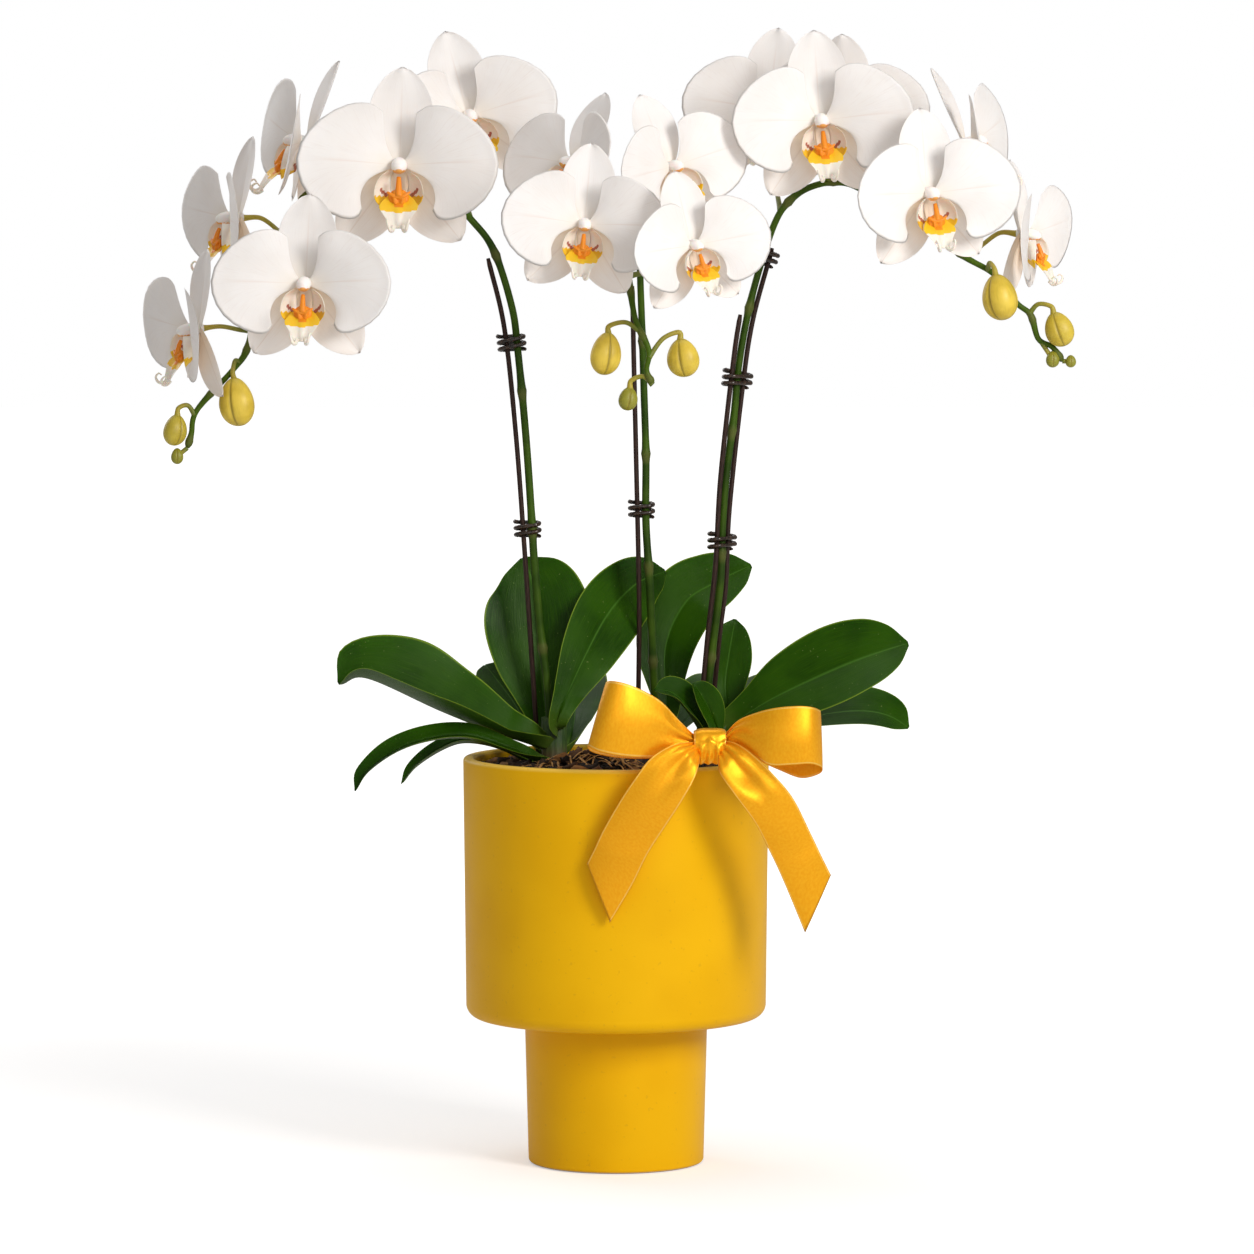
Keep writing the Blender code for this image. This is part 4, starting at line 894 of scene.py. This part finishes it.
for side, rows in FLOWERS.items():
    for number, (name, x, y, z, turn, tilt, lean, size, where) in enumerate(rows):
        dice = random.Random(name)
        bm = fresh()
        ruffle = dice.uniform(0.5, 1.1)
        sepal(bm, 49.5, 16, 0, 9, 2.2, 2.0, 0, 0.5, dice)
        sepal(bm, 48, 14.6, -141, 4, 2.4, 2.2, 1, 0.5, dice)
        sepal(bm, 48, 14.6, 141, 4, 2.4, 2.2, 1, 0.5, dice)
        fan_petal(bm, -1, ruffle, dice)
        fan_petal(bm, 1, ruffle, dice)
        lip_parts(bm, dice)
        pose = Matrix.Translation(mm(x, y, z)) @ facing(turn, tilt, lean) @ Matrix.Scale(size * MM, 4)
        bmesh.ops.transform(bm, matrix=pose, verts=bm.verts)
        finished(name.replace("flower", "bloom"), bm, FLOWER, [name])


# ---------------------------------------------------------------- stakes and ties
# Thin dyed canes pushed into the mix beside the spikes, and short coils of brown coated wire that
# hold each spike to its cane.
def at_height(line, z):
    """The point of a line at a height, and the line's direction there."""
    want = RIM + z * MM
    for a, b in zip(line, line[1:]):
        if (a.z - want) * (b.z - want) <= 0 and a.z != b.z:
            return a.lerp(b, (want - a.z) / (b.z - a.z)), (b - a).normalized()
    return line[-1], Vector((0, 0, 1))


def cane_paint(spot, along):
    u, v, _ = parted(along)
    grain = speckle(joined(along, u * 8.0, v * 14.0), 4.0, 4.0)
    return {"Base Color": tinted(eased(grain, 0.35, 0.7), rgb(0.012, 0.005, 0.004), rgb(0.050, 0.022, 0.014)),
            "Roughness": 0.40 + grain * 0.25, "Normal": raised(grain, 0.3, 0.2)}


def wire_paint(spot, along):
    fine = speckle(spot, 800.0, 2.0)
    return {"Base Color": tinted(eased(fine, 0.35, 0.65), rgb(0.008, 0.004, 0.002), rgb(0.040, 0.020, 0.011)),
            "Roughness": 0.15 + fine * 0.12, "Normal": raised(fine, 0.15, 0.15)}


CANE, WIRE = mixed("dyed_cane", cane_paint, Specular_IOR_Level=0.22), mixed("coated_wire", wire_paint)
STAKE_R, WIRE_R, TIE_PITCH, TIE_TURNS = 1.25, 1.05, 3.3, 2.6
STAKES = {
    "stake_left": ("left", [(32, 150, 4.4), (99, 176, 0.8), (160, 178, 1.2), (214, 180, 1.6), (249, 180, 0.4)]),
    "stake_centre": ("centre", [(25, 195, 5.0), (78, 182, 2.0), (150, 180, 1.2), (200, 180, 0.9), (235, 180, 0.4)]),
    "stake_right_1": ("right", [(30, 75, 6.0), (61, 50, 0.8), (86, 40, 0.3), (124, 38, 0.2), (183, 38, 0.2),
                                (218, 38, 0.3), (254, 38, 0.4)]),
    "stake_right_2": ("right", [(28, 215, 1.4), (61, 219, 0.4), (96, 222, 0.2), (140, 223, 0.2), (199, 220, 0.3),
                                (221, 205, 0.5)])}
stake_lines = {}
for name, (spike, rows) in STAKES.items():
    points = []
    for z, direction, gap in rows:
        a = math.radians(direction)
        points.append(at_height(spike_lines[spike], z)[0]
                      + Vector((math.cos(a), math.sin(a), 0)) * ((STEM_R + STAKE_R + 0.35 + gap) * MM))
    slope = (points[0] - points[1]).normalized()
    foot = points[0] + slope * ((points[0].z - (RIM - 98 * MM)) / -slope.z)
    stake_lines[name] = [foot] + spread(points, 12)
    bm = fresh()
    rod(bm, [foot.lerp(points[0], k / 12) for k in range(12)] + spread(points, 61),
        lambda t: STAKE_R * (1 - 0.25 * (t > 0.993)), 14)
    finished("cane_" + name[6:], bm, [CANE], [name])

TIES = [("tie_left_low", ["stake_left"], "left", 114), ("tie_left_high", ["stake_left"], "left", 207),
        ("tie_centre", ["stake_centre"], "centre", 123),
        ("tie_right_low", ["stake_right_1", "stake_right_2"], "right", 108),
        ("tie_right_high", ["stake_right_1", "stake_right_2"], "right", 189),
        ("tie_right_top", ["stake_right_1"], "right", 250)]
for name, stakes, spike, z in TIES:
    stem, axis = at_height(spike_lines[spike], z)
    held = [stem] + [at_height(stake_lines[s], z)[0] for s in stakes]
    left, right = min(held, key=lambda p: p.x), max(held, key=lambda p: p.x)
    middle, half = (left + right) / 2, (right - left).length / 2
    across = (right - left).normalized()
    across = (across - axis * across.dot(axis)).normalized()
    out = axis.cross(across)
    reach = (max(STEM_R, STAKE_R) + WIRE_R + 0.6) * MM
    coil = []
    for i in range(int(TIE_TURNS * 36) + 1):
        a = 2 * math.pi * i / 36
        flat = half * math.copysign(min(1.0, abs(math.cos(a)) * 2.2), math.cos(a))
        coil.append(middle + across * (flat + reach * math.cos(a)) + out * reach * math.sin(a)
                    + axis * (TIE_PITCH * MM * (i / 36 - TIE_TURNS / 2)))
    bm = fresh()
    beads = TIE_TURNS * 11
    rod(bm, coil, lambda t: WIRE_R * (0.84 + 0.22 * abs(math.sin(math.pi * beads * t)))
        * min(1.0, 0.45 + 18 * min(t, 1 - t)), 14)
    finished("wire_" + name, bm, [WIRE], [name])

# ---------------------------------------------------------------- bow
# A florist's bow of golden satin ribbon with a fine stitched edge. One length makes both loops,
# another both tails, and a folded band round the middle makes the knot. A wire holds it in the mix.
KNOT = Vector((46 * MM, -(math.sqrt(76.5 ** 2 - 46 ** 2) + 15) * MM, RIM + 12 * MM))
# From the knot's centre: x and z of one edge, x and z of the other edge, y
LOOPS = [(-2.4, 3.7, -2.4, -3.2, 2.6), (-5.8, 4.1, -5.8, -3.2, 2.8), (-12.2, 8.5, -12.6, -3.8, 3.8),
         (-21.9, 16.2, -22.4, -5.9, 5.2), (-32.2, 23.6, -34.1, -6.8, 4.4), (-42.9, 28.3, -47.8, -5.5, 1),
         (-49.3, 30.2, -57.6, -2.5, -5), (-50.7, 32.1, -59.5, 0.9, -11), (-47.3, 33.1, -54.6, -1.0, -16.5),
         (-40.5, 31.7, -45.8, -2.9, -17.5), (-32.3, 28.1, -36.1, -4.1, -15), (-23.5, 22.4, -26.9, -4.4, -11),
         (-14.2, 12.2, -16.6, -3.4, -6), (-5.9, 4.5, -5.9, -2.8, -1.4), (-0.5, 3.9, -0.5, -2.9, -0.4),
         (5.8, 5.0, 5.8, -2.3, -1.4), (13.1, 12.7, 12.1, 1.5, -6), (21.7, 17.1, 21.2, -3.4, -12),
         (31.3, 19.9, 28.9, -7.9, -16), (41.9, 21.0, 40.0, -7.7, -17.5), (49.3, 20.3, 48.8, -7.4, -15.5),
         (53.3, 18.3, 54.4, -10.0, -9), (52.6, 17.4, 53.1, -13.5, -3), (44.9, 16.9, 44.5, -16.0, 3),
         (34.3, 14.2, 33.8, -12.3, 5.4), (22.1, 10.3, 20.6, -6.4, 5.6), (12.3, 6.5, 11.3, -2.8, 4),
         (5.9, 4.1, 5.9, -3.2, 2.8), (1.5, 3.7, 1.5, -3.2, 2.6)]
TAILS = [(-60.0, -57.0, -48.8, -86.4, -4), (-56.1, -48.9, -38.1, -68.0, -6), (-52.2, -40.3, -30.3, -52.0, -9),
         (-44.4, -26.3, -22.5, -39.4, -12.5), (-36.6, -14.3, -15.2, -28.0, -15), (-28.9, -4.4, -8.9, -17.1, -16.5),
         (-18.6, 1.7, -6.0, -10.0, -14), (-10.8, 2.7, -5.0, -5.1, -8.5), (-5.9, 2.4, -4.9, -2.5, -4.8),
         (-0.5, 2.8, -0.5, -1.6, -3.8), (4.8, 2.8, 3.8, -2.5, -4.8), (11.1, 2.7, 3.8, -6.1, -8.5),
         (19.3, -1.8, 4.7, -12.5, -13), (29.9, -11.8, 12.4, -23.5, -15.5), (40.2, -24.3, 21.7, -36.5, -13),
         (49.1, -42.2, 29.1, -51.0, -9), (54.1, -52.8, 35.6, -65.1, -6), (59.1, -63.0, 46.5, -91.4, -3)]


def satin_paint(spot, along):
    u, v, _ = parted(along)
    s = along.maths("COSINE", u * (2 * math.pi))
    side = abs(s)
    weave = spot.node("ShaderNodeTexWave", {"wave_type": "BANDS", "bands_direction": "X"},
                      {"Vector": joined(along, s * 1.0, v * 0.0), "Scale": 20.0, "Distortion": 0.6, "Detail": 1.0})
    slub = speckle(joined(along, s * 2.0, v * 60.0), 4.0, 3.0)
    fine = speckle(spot, 1600.0, 2.0)
    hem = eased(side, 0.925, 0.945) * (1.0 - eased(side, 0.965, 0.985))
    stitch = eased(along.maths("SINE", v * 2600.0), -0.2, 0.3)
    body = tinted(eased(slub, 0.3, 0.7), rgb(0.93, 0.385, 0.004), rgb(0.97, 0.46, 0.012))
    body = tinted(hem * (0.35 + stitch * 0.5), body, rgb(0.97, 0.66, 0.17))
    body = tinted(eased(side, 0.985, 1.0) * 0.5, body, rgb(0.70, 0.27, 0.01))
    return {"Base Color": body, "Roughness": 0.27 + slub * 0.12 + fine * 0.06,
            "Normal": raised(weave * 0.3 + hem * stitch * 1.4 + fine * 0.3, 0.3, 0.2)}


SATIN = mixed("golden_satin", satin_paint, Sheen_Weight=0.03, Sheen_Roughness=0.3,
              Sheen_Tint=rgb(1.0, 0.82, 0.45), Anisotropic=0.5, Metallic=0.58, Specular_IOR_Level=0.3)


def knot_paint(spot, along):
    u, v, _ = parted(along)
    slub = speckle(joined(along, u * 40.0, v * 3.0), 4.0, 3.0)
    fine = speckle(spot, 1600.0, 2.0)
    hem = eased(abs(v - 0.25), 0.222, 0.230) * (1.0 - eased(abs(v - 0.25), 0.236, 0.244))
    body = tinted(eased(slub, 0.3, 0.7), rgb(0.93, 0.385, 0.004), rgb(0.97, 0.46, 0.012))
    return {"Base Color": tinted(hem * 0.6, body, rgb(0.97, 0.66, 0.17)), "Roughness": 0.28 + slub * 0.14,
            "Normal": raised(slub + fine * 0.3, 0.2, 0.2)}


KNOT_SATIN = mixed("folded_satin", knot_paint, Sheen_Weight=0.03, Sheen_Roughness=0.3,
                   Sheen_Tint=rgb(1.0, 0.82, 0.45), Anisotropic=0.5, Metallic=0.58, Specular_IOR_Level=0.3)


def along_rows(rows, t):
    """The ribbon's two edges at a share of its rows, on smooth curves through them."""
    k = min(len(rows) - 2, int(t * (len(rows) - 1)))
    u = t * (len(rows) - 1) - k
    a, b = rows[k], rows[k + 1]
    before = rows[k - 1] if k else tuple(2 * p - q for p, q in zip(a, b))
    after = rows[k + 2] if k + 2 < len(rows) else tuple(2 * q - p for p, q in zip(a, b))
    return [0.5 * ((2 * q) + (r - p) * u + (2 * p - 5 * q + 4 * r - n) * u * u
                   + (3 * q - 3 * r + n - p) * u ** 3) for p, q, r, n in zip(before, a, b, after)]


def ribbon(name, rows, steps, stands_for, cup, belly, flat_width=30.0):
    """A satin ribbon between two edges, gathered into pleats where it is drawn in to the knot."""

    def surface(s, t):
        ax, az, bx, bz, y = along_rows(rows, t)
        k = (1 + s) / 2
        wide = math.hypot(ax - bx, az - bz)
        drawn = max(0.0, 1 - wide / flat_width)
        from_knot = abs((ax + bx) / 2)
        pleat = 1.5 * math.exp(-(from_knot / 12) ** 2) * math.sin(3.3 * math.pi * s + 0.7)
        pleat += 0.8 * math.exp(-((from_knot - 15) / 9) ** 2) * math.cos(2.2 * math.pi * s + 0.5)
        hollow = cup * math.exp(-((from_knot - 17) / 7.5) ** 2) * (1 - s * s) ** 1.5
        return KNOT + Vector((bx + (ax - bx) * k, y + pleat + hollow + belly * (1 - s * s) * (1 - drawn),
                              bz + (az - bz) * k)) * MM

    bm = fresh()
    blade(bm, surface, lambda s, t: 0.42 * MM, 44, steps)
    made = finished(name, bm, [SATIN], stands_for)
    middle = [surface(0, i / 400) for i in range(401)]
    length = sum((b - a).length for a, b in zip(middle, middle[1:]))
    return made


def knot_fold(a, t):
    """The band round the middle: its outside from left to right, then back along its inside."""
    outside = t < 0.5
    k = 2 * t if outside else 2 - 2 * t
    x = -8 + 16 * k
    pinch = 1 - 0.16 * abs(2 * k - 1) ** 4
    low = 0.5 - 0.5 * math.tanh(math.sin(a) * 4)
    fold = 0.9 * math.cos(2 * math.pi * 4 * (k - 0.5)) * low
    zigzag = 2.2 * abs(((k * 2) % 1) * 2 - 1) - 0.6
    fold += 1.6 * math.exp(-((math.sin(a) * 8.7 - zigzag) / 1.1) ** 2)
    wall = 0.0 if outside else 1.3
    y = math.copysign(abs(math.cos(a)) ** 0.62, math.cos(a)) * (7.2 * pinch + fold * 0.8 - wall)
    z = math.copysign(abs(math.sin(a)) ** 0.62, math.sin(a)) * (8.7 * pinch + fold * 0.4 - wall)
    return KNOT + Vector((x + 0.9 * math.sin(a) * math.sin(3 * k), y, z)) * MM


bm = fresh()
wrap(bm, 72, 72, knot_fold)
knot_band = finished("knot_band", bm, [KNOT_SATIN], ["bow_knot"])
ribbon("loops_ribbon", LOOPS, 260, ["bow_loops"], 0.0, -2.2)
ribbon("tails_ribbon", TAILS, 200, ["bow_tails"], 4.2, -1.8)


def pick_paint(spot, along):
    fine = speckle(spot, 900.0, 2.0)
    return {"Base Color": tinted(eased(fine, 0.3, 0.7), rgb(0.05, 0.07, 0.03), rgb(0.11, 0.14, 0.07)),
            "Roughness": 0.35 + fine * 0.2, "Normal": raised(fine, 0.2, 0.15)}


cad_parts["bow_pick"].data.materials.clear()
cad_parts["bow_pick"].data.materials.append(mixed("painted_wire", pick_paint, Metallic=0.4))

# ---------------------------------------------------------------- studio
# A plain pale floor that runs back out of sight, one large soft light high on the right, and an
# even white surround.
scene = bpy.context.scene


def floor_paint(spot, along):
    haze = speckle(spot, 3.0, 2.0)
    seen = spot.node("ShaderNodeLightPath")
    x, y, _ = parted(spot)
    far = eased(x * x + y * y, 0.05, 1.6)
    return {"Base Color": tinted(haze, rgb(0.80, 0.80, 0.795), rgb(0.82, 0.82, 0.815)),
            "Emission Color": tinted(seen, rgb(0, 0, 0), tinted(far, rgb(0.46, 0.46, 0.47), rgb(1, 1, 1)))}


bm = bmesh.new()
bmesh.ops.create_grid(bm, x_segments=1, y_segments=1, size=12.0)
floor_mesh = bpy.data.meshes.new("floor")
bm.to_mesh(floor_mesh)
bm.free()
floor_mesh.materials.append(mixed("pale_floor", floor_paint, Roughness=0.9, Specular_IOR_Level=0.1,
                                  Emission_Strength=0.86))
floor = bpy.data.objects.new("floor", floor_mesh)
scene.collection.objects.link(floor)
floor.location.z = -0.0002

world = bpy.data.worlds.new("white_surround")
world.use_nodes = True
scene.world = world
tree = world.node_tree
tree.nodes["Background"].inputs["Color"].default_value = (1.0, 0.97, 0.935, 1.0)
tree.nodes["Background"].inputs["Strength"].default_value = 0.36
seen = tree.nodes.new("ShaderNodeBackground")
seen.inputs["Color"].default_value = (1.0, 1.0, 1.0, 1.0)
pick = tree.nodes.new("ShaderNodeMixShader")
tree.links.new(tree.nodes.new("ShaderNodeLightPath").outputs["Is Camera Ray"], pick.inputs[0])
tree.links.new(tree.nodes["Background"].outputs[0], pick.inputs[1])
tree.links.new(seen.outputs[0], pick.inputs[2])
tree.links.new(pick.outputs[0], tree.nodes["World Output"].inputs[0])


def softbox(name, place, aim, width, height, power, colour=(1.0, 1.0, 1.0)):
    lamp = bpy.data.lights.new(name, "AREA")
    lamp.shape, lamp.size, lamp.size_y, lamp.energy, lamp.color = "RECTANGLE", width, height, power, colour
    made = bpy.data.objects.new(name, lamp)
    scene.collection.objects.link(made)
    made.location = place
    made.rotation_euler = (Vector(aim) - Vector(place)).to_track_quat("-Z", "Y").to_euler()


softbox("key", (1.15, -1.40, 1.05), (0.0, 0.0, 0.30), 0.6, 0.7, 23.0, (1.0, 0.985, 0.96))
softbox("top", (-0.15, 0.25, 1.75), (0.0, 0.0, 0.30), 1.1, 0.8, 6.0)
softbox("front", (0.35, -2.4, 0.95), (0.0, 0.0, 0.35), 1.5, 0.5, 7.0)
softbox("rim", (-0.9, 1.1, 0.9), (0.0, 0.0, 0.40), 0.5, 0.9, 4.0)

lens = bpy.data.cameras.new("camera")
lens.sensor_width, lens.lens = 36.0, 172.65
lens.clip_start, lens.clip_end = 0.05, 60.0
camera = bpy.data.objects.new("camera", lens)
scene.collection.objects.link(camera)
camera.location = (0.0055, -3.0, 0.473)
camera.rotation_euler = (Vector((0.0055, 0.0, 0.269)) - camera.location).to_track_quat("-Z", "Y").to_euler()
scene.camera = camera
scene.view_settings.view_transform = "Standard"
scene.view_settings.look = "None"
